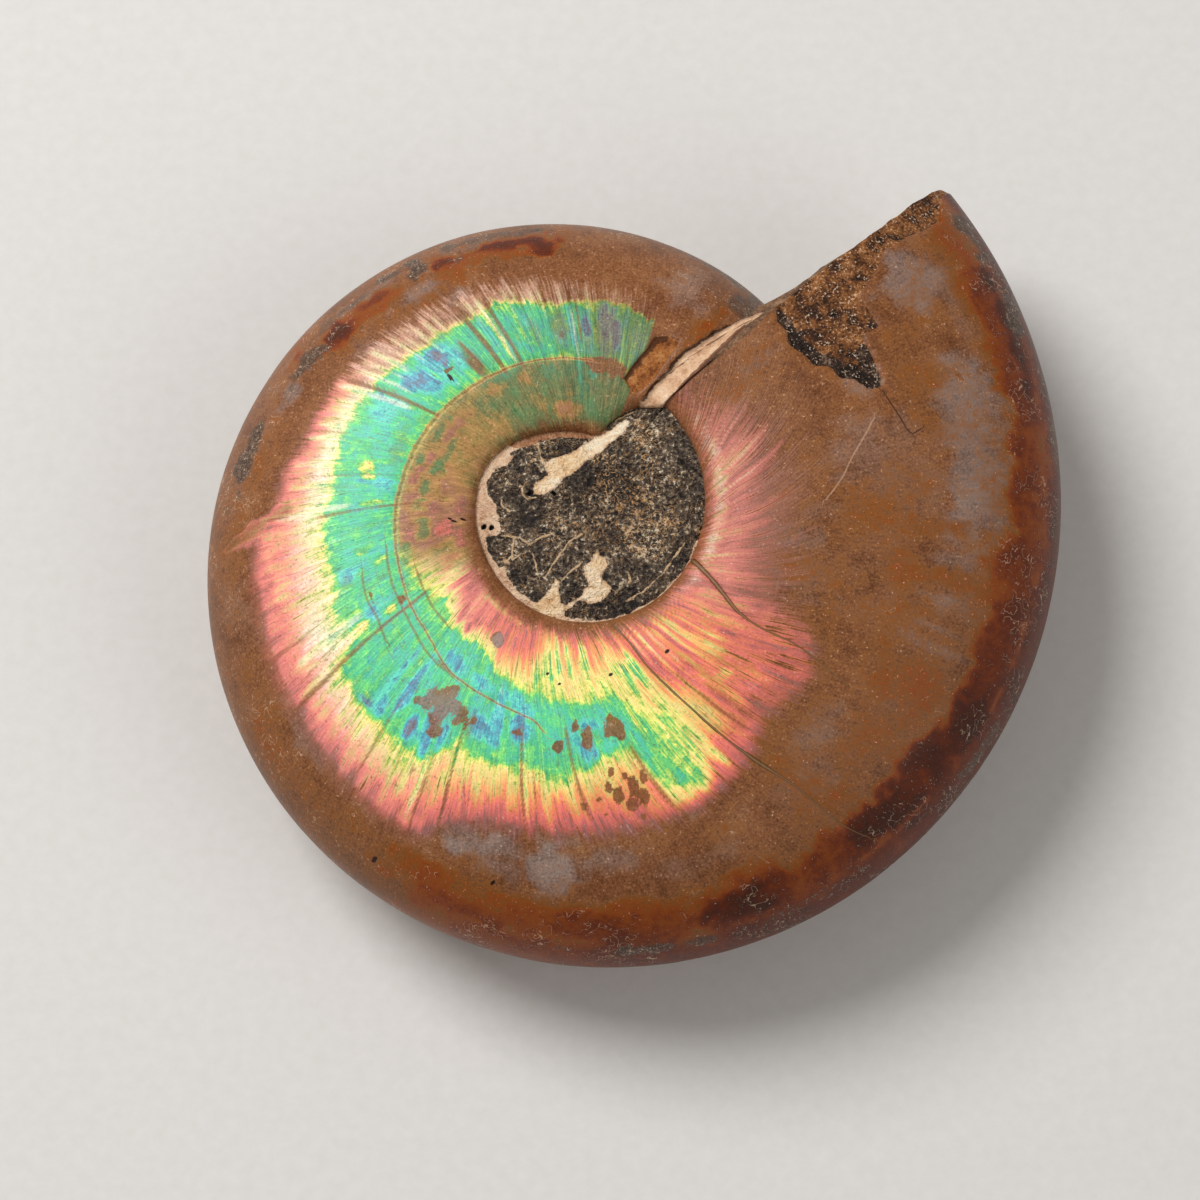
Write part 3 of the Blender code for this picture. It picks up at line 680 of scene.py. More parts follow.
# Stains and scars on the shell. Rust runs from 0.3, ochre, through 0.6, rust, to 1, a
# dark red. The other lists are middle angle, middle share, half sizes, amount.
stains = {
    "ochre": ((50, .14), (285, .14), (305, .24), (335, .27), (365, .27), (385, .18), (405, .16)),
    "keelRust": (
        (50, .2), (90, .2), (92, .3), (150, .25), (235, .25), (245, .5), (258, .52), (266, .58),
        (282, .60), (285, .4), (288, .78), (296, .80), (299, .62), (309, .64), (311.5, .84), (319, .84),
        (323, .74), (328, .86), (338, .82), (342, .66), (352, .60), (362, .58), (384, .58), (390, .60),
        (397, .45), (405, .4)),
    "keelBand": (0.925, 0.042),                  # middle share and half width of its rust
    # rust along the rim: partly real rust, partly painted shade on the side turned from the light
    "rimRustAndShade": ((50, .3), (180, .25), (235, .3), (262, .58), (290, .74), (400, .76)),
    "rust": (
        (55.5, .80, 1.6, .07, .42, .9), (57, .70, 1.6, .05, .40, .7), (72, .955, 12, .018, .35, .5),
        (107, .862, 11, .040, .50, 1), (98, .882, 3.4, .030, .74, .9), (104.5, .886, 6, .018, .84, .9),
        (97, .855, 1.6, .03, .80, .8), (111, .845, 4, .020, .44, .9), (117.5, .88, 2.2, .028, .78, .9),
        (116, .82, 4.0, .035, .42, .9), (104, .865, 3, .010, .72, .7), (126, .783, 6, .016, .38, .8),
        (135.5, .868, 8, .034, .50, 1), (131, .885, 2.6, .014, .66, .9),
        (141.5, .868, 2.4, .030, .82, .9), (138, .845, 2.0, .014, .74, .7),
        (133, .855, 3, .014, .44, .9), (138, .80, 5, .022, .34, .7), (143, .82, 1.4, .04, .45, .7),
        (128, .955, 6, .012, .40, .6), (148, .935, 1.8, .018, .7, .7), (147, .966, 3, .008, .6, .6),
        (164, .86, 6, .025, .30, .6), (170, .88, 5, .018, .34, .6), (155, .80, 5, .03, .26, .5),
        (212, .93, 2.4, .04, .32, .6), (218, .955, 8, .018, .36, .6), (240, .92, 3, .05, .32, .6),
        (252, .945, 8, .026, .62, .8), (253, .905, 10, .025, .45, .7), (255, .862, 5, .02, .32, .7),
        (262, .93, 5, .04, .5, .6), (274, .94, 7, .032, .64, .85), (281, .90, 6, .03, .50, .6),
        (292.5, .925, 5, .024, .86, 1), (300, .922, 5, .022, .66, .8), (307, .915, 4, .03, .62, .7),
        (315, .925, 5.5, .030, .88, 1), (322, .918, 4, .026, .76, 1), (332, .920, 9, .034, .84, 1),
        (343, .915, 6, .045, .66, 1), (350, .885, 3, .03, .60, .8), (358, .92, 8, .03, .60, .9),
        (368, .92, 8, .028, .62, .9), (378, .918, 7, .024, .58, .9), (388, .915, 7, .022, .60, 1),
        (386, .948, 9, .014, .90, .9), (397.5, .905, 4, .03, .45, .8), (333, .972, 30, .010, .72, .7),
        (372, .968, 22, .010, .60, .6), (302, .965, 12, .010, .6, .5), (311.5, .83, 3.4, .035, .40, .9),
        (325.4, .815, 2.2, .028, .38, .7), (331, .78, 4.5, .07, .40, .9),
        (342.6, .77, .8, .08, .36, .7), (348.8, .77, 1.6, .09, .40, .9),
        (356.5, .73, 1.6, .07, .40, .9), (318, .79, 8, .045, .36, .85), (394, .865, 6, .018, .34, .7),
        (382, .705, 9, .045, .31, .9), (392, .54, 7, .05, .27, .7), (362, .62, 8, .04, .27, .5),
        (352, .55, 6, .04, .30, .5), (399, .38, 4, .07, .36, .7), (375, .46, 6, .03, .26, .5),
        (336, .53, 5, .03, .28, .5), (187, .92, 4, .04, .22, .4), (268, .86, 8, .03, .26, .4),
        (290, .87, 6, .03, .28, .5), (182, .93, 1.6, .06, .34, .8)),
    "haze": (
        (124, .815, 6, .032, .8), (234, .57, 6.5, .05, 1.1), (238, .37, 2.8, .03, 1.2),
        (263, .82, 3.4, .05, 1.1), (256, .80, 5.5, .035, .95), (249, .815, 4.6, .03, .95),
        (366, .81, 10, .06, 1.1), (118.5, .745, 3, .03, .6), (140, .785, 3, .05, .4),
        (155, .872, 3.5, .028, .9), (133, .92, 9, .024, .7), (112, .93, 7, .03, .6),
        (99, .93, 4, .03, .5), (219, .865, 8, .025, .5), (223, .834, 9, .010, .8),
        (250, .80, 5, .04, .8), (257, .835, 5, .04, .7), (265, .81, 5, .055, 1.0),
        (275, .79, 7, .035, .6), (285, .82, 8, .03, .4), (289, .71, 1.6, .03, .5),
        (345, .82, 3, .07, .4), (365, .81, 11, .07, 1.1), (376, .80, 7, .065, 1.0),
        (395, .79, 5, .075, 1.0), (350, .62, 14, .12, .3), (370, .58, 9, .09, .5),
        (361, .70, 9, .09, .35), (338, .79, .9, .09, .6), (340.8, .78, .6, .08, .55),
        (345.2, .78, .9, .08, .65), (351.6, .77, 1.4, .08, .6), (391, .845, 7, .025, .5),
        (340, .48, 5, .10, .5), (350, .46, 5, .06, .6), (358, .50, 3, .06, .4), (399, .44, 2, .05, .5),
        (65, .80, 7, .07, .5), (63, .88, 5, .05, .5), (327, .80, 1.5, .05, .4), (372, .66, 6, .05, .4),
        (165, .93, 14, .05, .3), (194, .91, 6, .05, .35), (308, .76, 9, .04, .4),
        (316, .70, 6, .04, .5), (384, .60, 3, .03, .6), (352, .42, 3, .08, .6)),
    "dark": (
        (169, .925, 6.5, .030, 1), (163, .925, 3, .02, .8), (98, .932, 3.6, .022, .8),
        (110, .935, 8, .020, .6), (121.5, .905, 2.2, .038, .85), (126, .93, 3.4, .022, .7),
        (138, .925, 9, .018, .55), (148, .895, 4.5, .03, .7), (113.5, .885, 1.4, .02, .7),
        (386, .965, 5, .018, 1), (396, .965, 4, .018, .8), (280, .975, 10, .010, .7),
        (300, .975, 8, .008, .4), (60, .97, 10, .02, .7), (330, .985, 8, .010, .7),
        (53, .90, 3, .06, .6), (371, .985, 4, .01, .6), (84, .965, 7, .012, .5)),
    "bare": (
        (234, .565, 6.4, .040, 1), (231, .59, 3, .02, 1), (236.5, .625, 1.6, .02, .8),
        (271.5, .52, 2.4, .027, 1), (278, .50, 2.7, .032, 1), (132, .555, 2.2, .010, 1),
        (264.2, .55, 1.3, .012, 1), (237.8, .37, 2.4, .022, 1), (273, .66, 1.0, .012, .8),
        (275, .635, .9, .014, .8), (277, .655, 1.1, .018, .9), (279, .675, 1.3, .016, .9),
        (280, .64, 1.0, .02, .9), (281.6, .66, 1.0, .022, .9), (276, .60, .8, .012, .7),
        (270, .675, .9, .010, .7), (278.5, .61, .7, .010, .7), (282.4, .62, .7, .018, .8),
        (274, .695, .8, .008, .7), (281, .70, .8, .010, .7), (79, .465, 8, .030, 1),
        (253.5, .54, 1.6, .010, .8), (202, .565, 1.6, .006, .8), (206, .495, 1.6, .012, .9),
        (229, .495, 2.2, .006, .6), (268, .50, 1.2, .02, .8), (243.5, .555, 1.2, .016, .7)),
    "pits": (
        (182.5, .335, .5, .005, 1), (184, .325, .4, .008, 1), (183.3, .302, .7, .004, 1),
        (238, .942, .5, .005, 1), (256, .874, .35, .004, 1), (132.6, .53, .5, .012, 1),
        (304, .68, .5, .012, .6), (258.5, .39, .4, .004, 1), (279.6, .384, .7, .003, 1),
        (300, .372, .8, .004, 1), (267, .322, .7, .003, .8), (262.8, .408, .5, .003, .8)),
}

# Cracks and other marks as (angle, share) paths, and their half widths in millimetres
marks = {
    "far": 50.0,
    "paths": (
        "wideCrack", "longCrack", "hairCrack", "paleLine", "spiral", "wedge", "thread1", "thread2",
        "thread3"),
    # the distances that the material reads as they are
    "fields": (
        "hairCrack", "paleLine", "threads", "crust", "crustEdge", "chip", "chipEdge", "scar",
        "scarEdge", "scarCrack", "groove"),
    "wideWidth": ((0.26, 0.24), (0.38, 0.19), (0.44, 0.10), (0.69, 0.05)),
    "longWidth": ((0.26, 0.07), (0.40, 0.10), (0.62, 0.10), (0.68, 0.20), (0.74, 0.09), (0.93, 0.05)),
    "spiralWidth": ((85, 0.13), (110, 0.16), (125, 0.26), (178, 0.28), (200, 0.16), (260, 0.11)),
    "wideCrack": (
        (334.5, .258), (329.5, .328), (325.8, .388), (324.8, .432), (325.2, .483), (326.2, .540),
        (325.8, .615), (325.2, .685)),
    "longCrack": (
        (284.5, .263), (289.2, .320), (291.5, .375), (295, .445), (298, .512), (300.5, .583),
        (302.8, .647), (304, .682), (306.5, .752), (307.8, .820), (309.2, .887), (311, .935)),
    "hairCrack": ((380.8, .640), (376.5, .657), (372.5, .675), (372.2, .682), (372.8, .70)),
    "paleLine": ((361, .50), (366, .533), (370, .555), (376, .605)),
    "wedge": ((177.6, .775), (179.6, .83), (181.8, .885), (183, .925)),
    "spiral": (
        (85, .472), (110, .474), (125, .472), (150, .476), (178, .477), (200, .476), (205, .478),
        (212, .478), (220, .478), (226, .489), (232, .497), (245, .495), (256, .50), (260, .52)),
    "thread1": ((190, .500), (200, .503), (212, .499), (224, .505), (232, .50)),
    "thread2": ((196, .572), (202, .574), (208, .566), (214, .572)),
    "thread3": ((200, .435), (212, .432), (220, .426)),
}

# The bare rock at the mouth, and the edge of the mouth beside it, in millimetres
crust = {
    "outline": (
        (19.3, 19.3), (19.5, 18.2), (20.4, 17.1), (20.6, 15.8), (22.2, 14.7), (22.9, 13.7),
        (24.5, 13.7), (25.4, 12.5), (26.9, 12.4), (28.3, 11.4), (29.4, 11.6), (29.5, 12.5),
        (28.7, 14.8), (27.7, 16.8), (29.5, 17.9), (27.5, 21.1), (28.5, 22.4), (29.6, 24.2),
        (30.4, 26.2), (33.1, 28.0), (34.9, 29.1), (36.0, 30.2), (36.4, 32.8), (38.4, 37.0),
        (37.4, 38.2), (20.0, 21.0)),
    # the dark edge inside the bare rock: partly black sediment, partly painted shade in the recess
    "darkEdge": (
        (19.6, 18.4), (20.6, 17.2), (21.0, 16.0), (22.4, 15.0), (23.2, 14.1), (24.6, 13.9),
        (25.7, 12.9), (27.0, 12.8), (28.6, 11.9), (28.9, 13.0), (28.0, 15.0)),
    "depth": 0.42, "lumps": 0.34, "ditch": 0.35,
}
chip = {
    "outline": (
        (4.4, 13.3), (5.2, 14.6), (6.8, 16.5), (7.4, 17.6), (8.6, 17.7), (9.9, 17.0), (8.2, 14.5),
        (7.3, 13.2), (6.1, 12.0), (5.2, 11.8)),
    # the chip's upper edge, under which its hollow is darkened as painted shadow
    "shadowSide": ((4.6, 13.5), (5.4, 14.6), (6.9, 16.4), (7.5, 17.4), (8.5, 17.5)),
    "depth": 0.32, "lumps": 0.10,
}

# The pale strip in the notch: the broken edge of the last turn lying on the old one
scar = {
    "outline": (
        (7.6, 9.4), (10.8, 12.7), (13.5, 15.5), (16, 17.8), (18.4, 19.4), (17.4, 19.7), (15, 19.2),
        (13.5, 18.4), (11.6, 17), (9.5, 15.5), (8.5, 13.9), (7.3, 12.8), (6.2, 11.3), (5.8, 10.4)),
    "upperEdge": (
        (6.2, 11.3), (7.3, 12.8), (8.5, 13.9), (9.5, 15.5), (11.6, 17), (13.5, 18.4), (15, 19.2),
        (17.4, 19.7)),
    "crack": ((7.0, 12.4), (8.6, 13.5), (11, 15.4), (13.6, 17.2), (17.4, 18.9)),
    # the groove beside the mouth's edge, darkened as painted shadow
    "groove": ((8.3, 10.1), (11, 12.9), (13.6, 15.6), (16.2, 18.0)),
    "depth": 0.30,
}

# The shell's grid and its relief, in millimetres
shell = {
    "columns": 736, "breakColumns": 22,
    "upperRows": (66, 18, 7, 3), "lowerRows": (24, 6, 4, 2),   # keel, flank, shoulder, wall
    "rowAngle": 300.0,                           # where on the coil the rows are spaced evenly
    "inset": 0.07, "swell": 0.05, "ribs": 0.018,
    # depth and half width of what is cut along a mark
    "grooves": (("spiral", 0.06, 0.28), ("wideCrack", 0.22, 0.30), ("longCrack", 0.16, 0.22)),
    "breakLumps": 0.55, "breakWidth": 8.0, "stripAbove": 8.0,
    "sharp": 55.0,                               # edges bent further than this stay hard
    "notOnBreak": ("pearl", "white", "bright", "rust", "haze", "dark", "bare", "pits"),
}


def rowSteps(counts):
    # rows at even distances along each stretch of the section
    steps = []
    for k, count in enumerate(counts):
        t = np.linspace(k, k + 1.0, 400)
        share, height = sectionAt(t, shell["rowAngle"])
        lengths = np.hypot(np.diff(share * keelRadius(shell["rowAngle"])), np.diff(height))
        walked = np.concatenate([[0.0], np.cumsum(lengths)])
        steps.append(np.interp(np.linspace(0.0, walked[-1], count, endpoint=False), walked, t))
    return np.concatenate(steps + [[4.0]])


def surfaceNormals(points):
    # square to the ways along the columns and along the rows
    across = np.gradient(points, axis=0)
    down = np.gradient(points, axis=1)
    normal = np.cross(across, down)
    return normal / np.maximum(np.linalg.norm(normal, axis=-1, keepdims=True), 1e-9)


def shellRelief(angle, share, side, x, y, top):
    # how far the surface stands out of the plain coil: slow swells, fine growth ribs,
    # the spiral groove, the cracks, and the patches where shell has come off
    lines = growthAngle(angle, share)
    ribs = shell["ribs"] * wobble(lines / 0.9, share * 3.0, side * 7.0, 33)
    relief = -shell["inset"] + shell["swell"] * rough(angle / 16.0, share * 5.0, side * 3.0, 31, 3)
    relief = relief + ribs * smooth(1.0, 0.9, share)
    for name, depth, width in shell["grooves"]:
        relief = relief - depth * bell(top[name], 0.0, width)
    inCrust = smooth(-0.15, 0.30, top["crust"])
    relief = relief - inCrust * (crust["depth"] + crust["lumps"] * rough(x / 1.1, y / 1.1, 0.0, 35, 4))
    relief = relief - crust["ditch"] * bell(top["crustEdge"], 0.0, 0.45) * inCrust
    relief = relief - scar["depth"] * smooth(-0.05, 0.25, top["scar"])
    inChip = smooth(-0.12, 0.22, top["chip"])
    return relief - inChip * (chip["depth"] + chip["lumps"] * rough(x / 0.8, y / 0.8, 0.0, 37, 3))


def topMarks(x, y, upper):
    # distances in millimetres to the marks of the upper side, far away elsewhere
    away = {name: pathDistance(x, y, flatPath(rounded(marks[name]))) for name in marks["paths"]}
    away["threads"] = nearer(nearer(away["thread1"], away["thread2"]), away["thread3"])
    away["crustEdge"] = np.abs(pathDistance(x, y, crust["darkEdge"]))
    away["chipEdge"] = np.abs(pathDistance(x, y, chip["shadowSide"]))
    away = {name: np.where(upper, distance, marks["far"]) for name, distance in away.items()}
    for name, outline in (("crust", crust["outline"]), ("chip", chip["outline"])):
        away[name] = np.where(upper, outlineDistance(x, y, outline), -marks["far"])
    away.update(scarMarks(x, y, upper))
    return away


def scarMarks(x, y, upper):
    # distances to the strip in the notch, looked up a little way off to make it ragged
    rx = x + 0.20 * rough(x / 0.7, y / 0.7, seed=44, octaves=3)
    ry = y + 0.20 * rough(x / 0.7, y / 0.7, seed=45, octaves=3)
    away = {
        "scarEdge": np.abs(pathDistance(rx, ry, scar["upperEdge"])),
        "scarCrack": np.abs(pathDistance(rx, ry, scar["crack"])),
        "groove": pathDistance(x, y, scar["groove"]),
    }
    away = {name: np.where(upper, distance, marks["far"]) for name, distance in away.items()}
    away["scar"] = np.where(upper, outlineDistance(rx, ry, scar["outline"]), -marks["far"])
    return away


def newMesh(name, points, faces, uvs, attributes, sharp):
    # a mesh from whole arrays: its points, blocks of faces, the place of each corner on
    # the coil's map, and numbers for each point
    corners = np.concatenate([block.reshape(-1) for block in faces]).astype(np.int32)
    sizes = np.concatenate([np.full(len(block), block.shape[1]) for block in faces])
    starts = np.concatenate([[0], np.cumsum(sizes)[:-1]]).astype(np.int32)
    mesh = bpy.data.meshes.new(name)
    mesh.vertices.add(len(points))
    mesh.vertices.foreach_set("co", np.ascontiguousarray(points, np.float32).reshape(-1))
    mesh.loops.add(len(corners))
    mesh.loops.foreach_set("vertex_index", corners)
    mesh.polygons.add(len(sizes))
    mesh.polygons.foreach_set("loop_start", starts)
    if uvs is not None:
        layer = mesh.uv_layers.new(name="coil")
        layer.data.foreach_set("uv", np.ascontiguousarray(uvs, np.float32).reshape(-1))
    for key, values in attributes.items():
        store = mesh.attributes.new(key, "FLOAT", "POINT")
        store.data.foreach_set("value", np.ascontiguousarray(values, np.float32).reshape(-1))
    mesh.update(calc_edges=True)
    mesh.shade_smooth()
    mesh.set_sharp_from_angle(angle=math.radians(sharp))
    piece = bpy.data.objects.new(name, mesh)
    bpy.context.scene.collection.objects.link(piece)
    print(name, "has", int((sizes - 2).sum()), "triangles")
    return piece


def dress(piece, material):
    # its material, and the CAD node that it stands for
    piece.data.materials.append(material)
    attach(piece, "root")
    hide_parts("ammonite")


def shellGrid():
    # the shell as columns round the coil and rows round the whorl, closed both ways:
    # the last columns cross the break from the mouth back to the old whorl
    upperSteps = rowSteps(shell["upperRows"])
    lowerSteps = rowSteps(shell["lowerRows"])[::-1][1:-1]
    t = np.concatenate([upperSteps, lowerSteps])
    side = np.concatenate([np.ones(len(upperSteps)), -np.ones(len(lowerSteps))])
    footShare = sectionAt(t, coil["foot"][0] + 0.5 * coil["foot"][1])[0]
    mouthShare = sectionAt(t, coil["mouthAngle"])[0]
    start = footAngleAt(footShare) + 0.25 * rough(footShare * 60.0, side * 5.0, seed=41)
    end = mouthAngleAt(mouthShare) + 0.16 * rough(mouthShare * 60.0, side * 5.0, seed=42)
    turned = np.linspace(0.0, 1.0, shell["columns"] + 1)[:, None]
    angle = mixed(start, end, turned)
    share, height = sectionAt(t[None, :] + 0.0 * angle, angle)
    points = coilPoints(share, angle, side * height)
    x, y = points[..., 0], points[..., 1]
    upper = (side > 0) & (t < 3.2)
    top = topMarks(x, y, upper[None, :] & (angle > 0.0))
    relief = shellRelief(angle, share, side + 0.0 * angle, x, y, top) * smooth(3.6, 3.0, t)
    points = points + surfaceNormals(points) * relief[..., None]
    return {
        "t": t, "side": side, "angle": angle, "share": share, "points": points, "top": top,
        "upper": upper}


def breakFace(grid):
    # straight lines from the mouth's edge to the foot of the break, roughened where
    # the face is wide, with a groove beside the mouth's edge near the navel
    mouth, foot = grid["points"][-1], grid["points"][0]
    across = 0.5 - 0.5 * np.cos(np.pi * np.arange(1, shell["breakColumns"]) / shell["breakColumns"])
    across = across[:, None]
    points = mixed(mouth[None], foot[None], across[..., None])
    width = np.linalg.norm(mouth - foot, axis=-1)[None, :]
    forward = np.stack([-mouth[:, 1], mouth[:, 0], 0.0 * mouth[:, 0]], -1)
    forward /= np.linalg.norm(forward, axis=-1, keepdims=True)
    x, y, z = (points[..., k] for k in range(3))
    lumps = rough(x / 4.0, y / 4.0, z / 4.0, 51, 4) * shell["breakLumps"] - 0.25
    fade = ramp(0.0, shell["breakWidth"], width) * np.sin(np.pi * across) ** 0.5
    points = points + forward[None] * (lumps * fade)[..., None]
    near = 1.0 - smooth(4.0, 9.0, width + 60.0 * (grid["side"] < 0))
    groove = 0.55 * bell(across, 0.09, 0.07) * near
    points[..., 2] = points[..., 2] - groove
    return across, points


def gridCorners(values, closing):
    # a value for each corner of each face of the closed grid; past the last column it
    # runs on to the closing values rather than back to those of the first
    ahead = np.concatenate([values[1:], closing[None]])
    under = np.roll(values, -1, axis=1)
    aheadUnder = np.roll(ahead, -1, axis=1)
    return np.stack([values, ahead, aheadUnder, under], -1)


def shellFields(grid):
    # what the material reads, for each point of the coil
    angle, share, side, top = (grid[name] for name in ("angle", "share", "side", "top"))
    under = (side < 0)[None, :]
    x, y = grid["points"][..., 0], grid["points"][..., 1]
    fields = pearlFields(angle, share, side, top)
    fields.update({name: top[name] for name in marks["fields"]})
    fields.update({
        "rust": stained(angle, share, side),
        "haze": ovals(angle, share, stains["haze"], 0.5, 63),
        "dark": ovals(angle, share, stains["dark"], 0.8, 64),
        "bare": np.where(under, 0.0, ovals(angle, share, stains["bare"], 0.6, 65)),
        "pits": np.where(under, 0.0, ovals(angle, share, stains["pits"], 0.25, 66)),
        "crack": nearer(
            top["wideCrack"] / along(marks["wideWidth"], share),
            top["longCrack"] / along(marks["longWidth"], share)),
        "spiral": top["spiral"] / along(marks["spiralWidth"], angle),
        "clump": 2.0 * rough(x / 1.2, y / 1.2, seed=55, octaves=3),
        "share": share, "broken": 0.0 * share,
    })
    return fields


def brokenFields(grid, fields, points):
    # the same for the broken face: as at the mouth's edge, but bare of pearl and stains
    x, y, z = (points[..., k] for k in range(3))
    plain = 0.0 * x
    broken = {name: np.repeat(values[-1:], len(points), axis=0) for name, values in fields.items()}
    broken.update({name: plain for name in shell["notOnBreak"]})
    broken.update({name: plain - marks["far"] for name in ("crust", "chip")})
    broken.update(scarMarks(x, y, grid["upper"][None, :] & (z > shell["stripAbove"])))
    broken["clump"] = 2.0 * rough((x + y) / 1.6, z / 1.2, seed=56, octaves=3)
    broken["broken"] = plain + 1.0
    return broken


def makeShell(material):
    # the coil and its broken face as one closed skin, with a map that follows the
    # growth lines and the share, in which the underside lies two units further on
    grid = shellGrid()
    across, broken = breakFace(grid)
    points = np.concatenate([grid["points"], broken])
    columns, rows = points.shape[:2]
    fields = shellFields(grid)
    onBreak = brokenFields(grid, fields, broken)
    attributes = {name: np.concatenate([fields[name], onBreak[name]]) for name in fields}
    lines = growthAngle(grid["angle"], grid["share"]) / 360.0
    u = np.concatenate([lines, lines[-1] + 0.04 * across])
    shares = np.concatenate([grid["share"], np.repeat(grid["share"][-1:], len(across), axis=0)])
    v = shares + 2.0 * (grid["side"] < 0)
    uvs = np.stack([gridCorners(u, u[-1] + 0.002), gridCorners(v, v[-1])], -1)
    i, j = np.meshgrid(np.arange(columns), np.arange(rows), indexing="ij")
    nextI, nextJ = (i + 1) % columns, (j + 1) % rows
    quads = np.stack([i * rows + j, nextI * rows + j, nextI * rows + nextJ, i * rows + nextJ], -1)
    piece = newMesh("ammonite_shell", laidDown(points).reshape(-1, 3), [quads.reshape(-1, 4)],
                    uvs.reshape(-1, 2), attributes, shell["sharp"])
    dress(piece, material)
    shoulder = int(np.argmin(np.abs(grid["t"][:sum(shell["upperRows"]) + 1] - 3.0)))
    return points[:, shoulder]


# The stone that fills the navel, in millimetres
stone = {
    "level": 12.4, "levelRun": 0.5, "sink": 0.30, "tuck": 0.6, "wall": 3.0,
    "topGrid": (420, 104), "underGrid": (220, 60),
    "lumps": 0.16, "crystals": 0.10, "swell": 0.30, "domes": 0.14, "pitDepth": 0.45,
    "paleRise": 0.12, "threadRise": 0.05, "topSeed": 70, "underSeed": 90,
    "sharp": 80.0,
    "veins": (
        (
            (4.95, 9.2), (4.2, 7.85), (2.95, 6.85), (2, 5.95), (.65, 5.05), (-.25, 4.2), (-1.5, 3.4),
            (-2.4, 2.4), (-3.4, 1.75), (-4.45, 1.95), (-4.6, 2.6), (-3.8, 3.2), (-3.05, 3.6),
            (-3.35, 4.5), (-3.35, 5.05), (-2, 5.6), (-1.15, 5.85), (-.25, 6.4), (.65, 7.3), (2, 8.05),
            (3.1, 8.5), (4, 9.2), (4.65, 9.5)),
        (
            (1.7, -3.8), (1.2, -4.4), (.95, -5.05), (.3, -5.5), (.4, -6.4), (.65, -7.15), (.2, -7.8),
            (0, -8.35), (-.8, -8.75), (-1.6, -9.2), (-1.7, -10.1), (-1.3, -9.5), (-.2, -8.75),
            (.9, -9.05), (1.8, -8.95), (2.8, -8.2), (2.9, -7.4), (2, -6.5), (2.6, -5.3), (2.35, -4.6),
            (1.8, -4.3)),
        (
            (-2, -6.8), (-2.4, -6.7), (-2.9, -7.5), (-3.8, -8.4), (-4.3, -8.8), (-5, -9.1),
            (-3.7, -10.2), (-1.7, -10.4), (-1.5, -9.4), (-2, -8.95), (-2.15, -7.7))),
    "rimTone": (
        (-6, 6.85), (-6.9, 6), (-6.4, 5.85), (-7, 4.95), (-8, 4.7), (-9.2, 4.05), (-9.8, 3.4),
        (-9.3, 2.7), (-8.85, 1.85), (-8.3, .95), (-8.1, .05), (-7.8, -1.05), (-7.7, -1.85),
        (-8.2, -2.05), (-9.2, -2.2), (-9.5, -2.8), (-9.1, -4.2), (-8.3, -5.3), (-7.5, -5.15),
        (-7.2, -5.95), (-6.75, -7.15), (-5.85, -7.95), (-5.1, -8.6), (-4.3, -8.8), (-3.6, -11.5),
        (-14, -8), (-14, 6), (-9, 10)),
    "rimTop": (
        (-6.4, 6.7), (-5.4, 6.8), (-4.7, 7.05), (-3.9, 7.4), (-2.5, 7.7), (-1.2, 8.05), (-.3, 8.4),
        (.8, 8.4), (2.4, 8.0), (2.8, 10.5), (-5, 11), (-8, 8)),
    "threads": (
        ((-7.65, -2.05), (-6.5, -2.4), (-5.95, -2.6), (-4.95, -3.15), (-4.3, -2.7), (-2.85, -2.25)),
        ((-6.5, -2.4), (-6.55, -3.25), (-6.6, -4.25), (-7.4, -4.8)), ((-6.6, -4.5), (-5.3, -3.95)),
        ((-4.7, -4.15), (-4.5, -5.05), (-4.2, -5.95)),
        ((-3.4, -6.4), (-2.5, -5.05), (-2.05, -4.15), (-1.05, -3.05), (0, -2.25)),
        ((-2.15, -7.15), (-1.15, -6.15), (.15, -5.05)), ((-4.05, 6.8), (-3.7, 5.4), (-3.35, 4.75)),
        ((4.6, -6.15), (4.8, -6.95), (3.95, -7.5), (3.3, -8.15)),
        ((-5.5, 2.5), (-5.6, 1.85), (-5.05, 1.4), (-4.3, 1.5)), ((-7.7, 1.4), (-7.5, .5), (-6.85, .2)),
        ((3.25, 8.85), (3.6, 9.5), (4.6, 10.05), (5.3, 10.3)), ((-7.1, 3.2), (-6.6, 2.9)),
        ((4.2, -8.9), (6, -8.0), (8, -6.1), (9.3, -4.4), (10, -3.2))),
    "rimWidth": (
        (40, -1), (58, -.2), (64, .15), (70, -.5), (110, -.3), (122, .8), (150, .9), (200, .55),
        (225, .7), (250, .55), (268, .3), (272, .15), (290, .12), (345, .14), (350, -.5)),
    "topWidth": ((60, -1), (78, .2), (90, .7), (112, .8), (124, .4), (130, -.6)),
    "pits": ((-9.4, -1.15), (-8.65, -1.3), (-4.85, 1.95), (-2.5, 1.85)),
    "rounds": (
        (-3.2, 6.2, .75), (-1.1, 6.7, .95), (.35, 7.7, .8), (-5.1, 5.9, .7), (3.6, 6.6, .65),
        (-8.2, -3, .9), (8.7, 1.8, .7), (-1.9, 7.3, .5), (-1, -7.6, .7)),
    "golds": (
        (5.2, -.5, 4.2, 4.2, .7), (8.3, -1.3, 1.5, .7, 1.3), (3.8, .3, .5, .6, 1.5),
        (5.4, .8, .7, .6, 1.4), (6, 7.4, .8, 1.8, 1), (2.4, 5.2, 1.2, .6, .9), (2, -2.2, 1.2, 1.4, .8),
        (6, -4, 1.4, .7, .9)),
    "blacks": (
        (2.8, 3.2, 2.6, 1.8, 1), (-.3, 1.4, 2, 1.6, .6), (1.4, -9.4, 4.4, .8, 1),
        (-4.4, .2, 2.4, 2, .3), (9.6, -3.6, 1.2, 2, .5), (-2, 7, 3, 1, .5)),
}


def nearAny(x, y, side, spots, width):
    # the strongest of a list of soft round spots: place, half sizes, amount
    best = 0.0 * x
    for px, py, wide, high, amount in spots:
        away = np.hypot((x - px) / wide, (y - py * side) / high)
        best = np.maximum(best, amount * bell(away, 0.0, width))
    return best


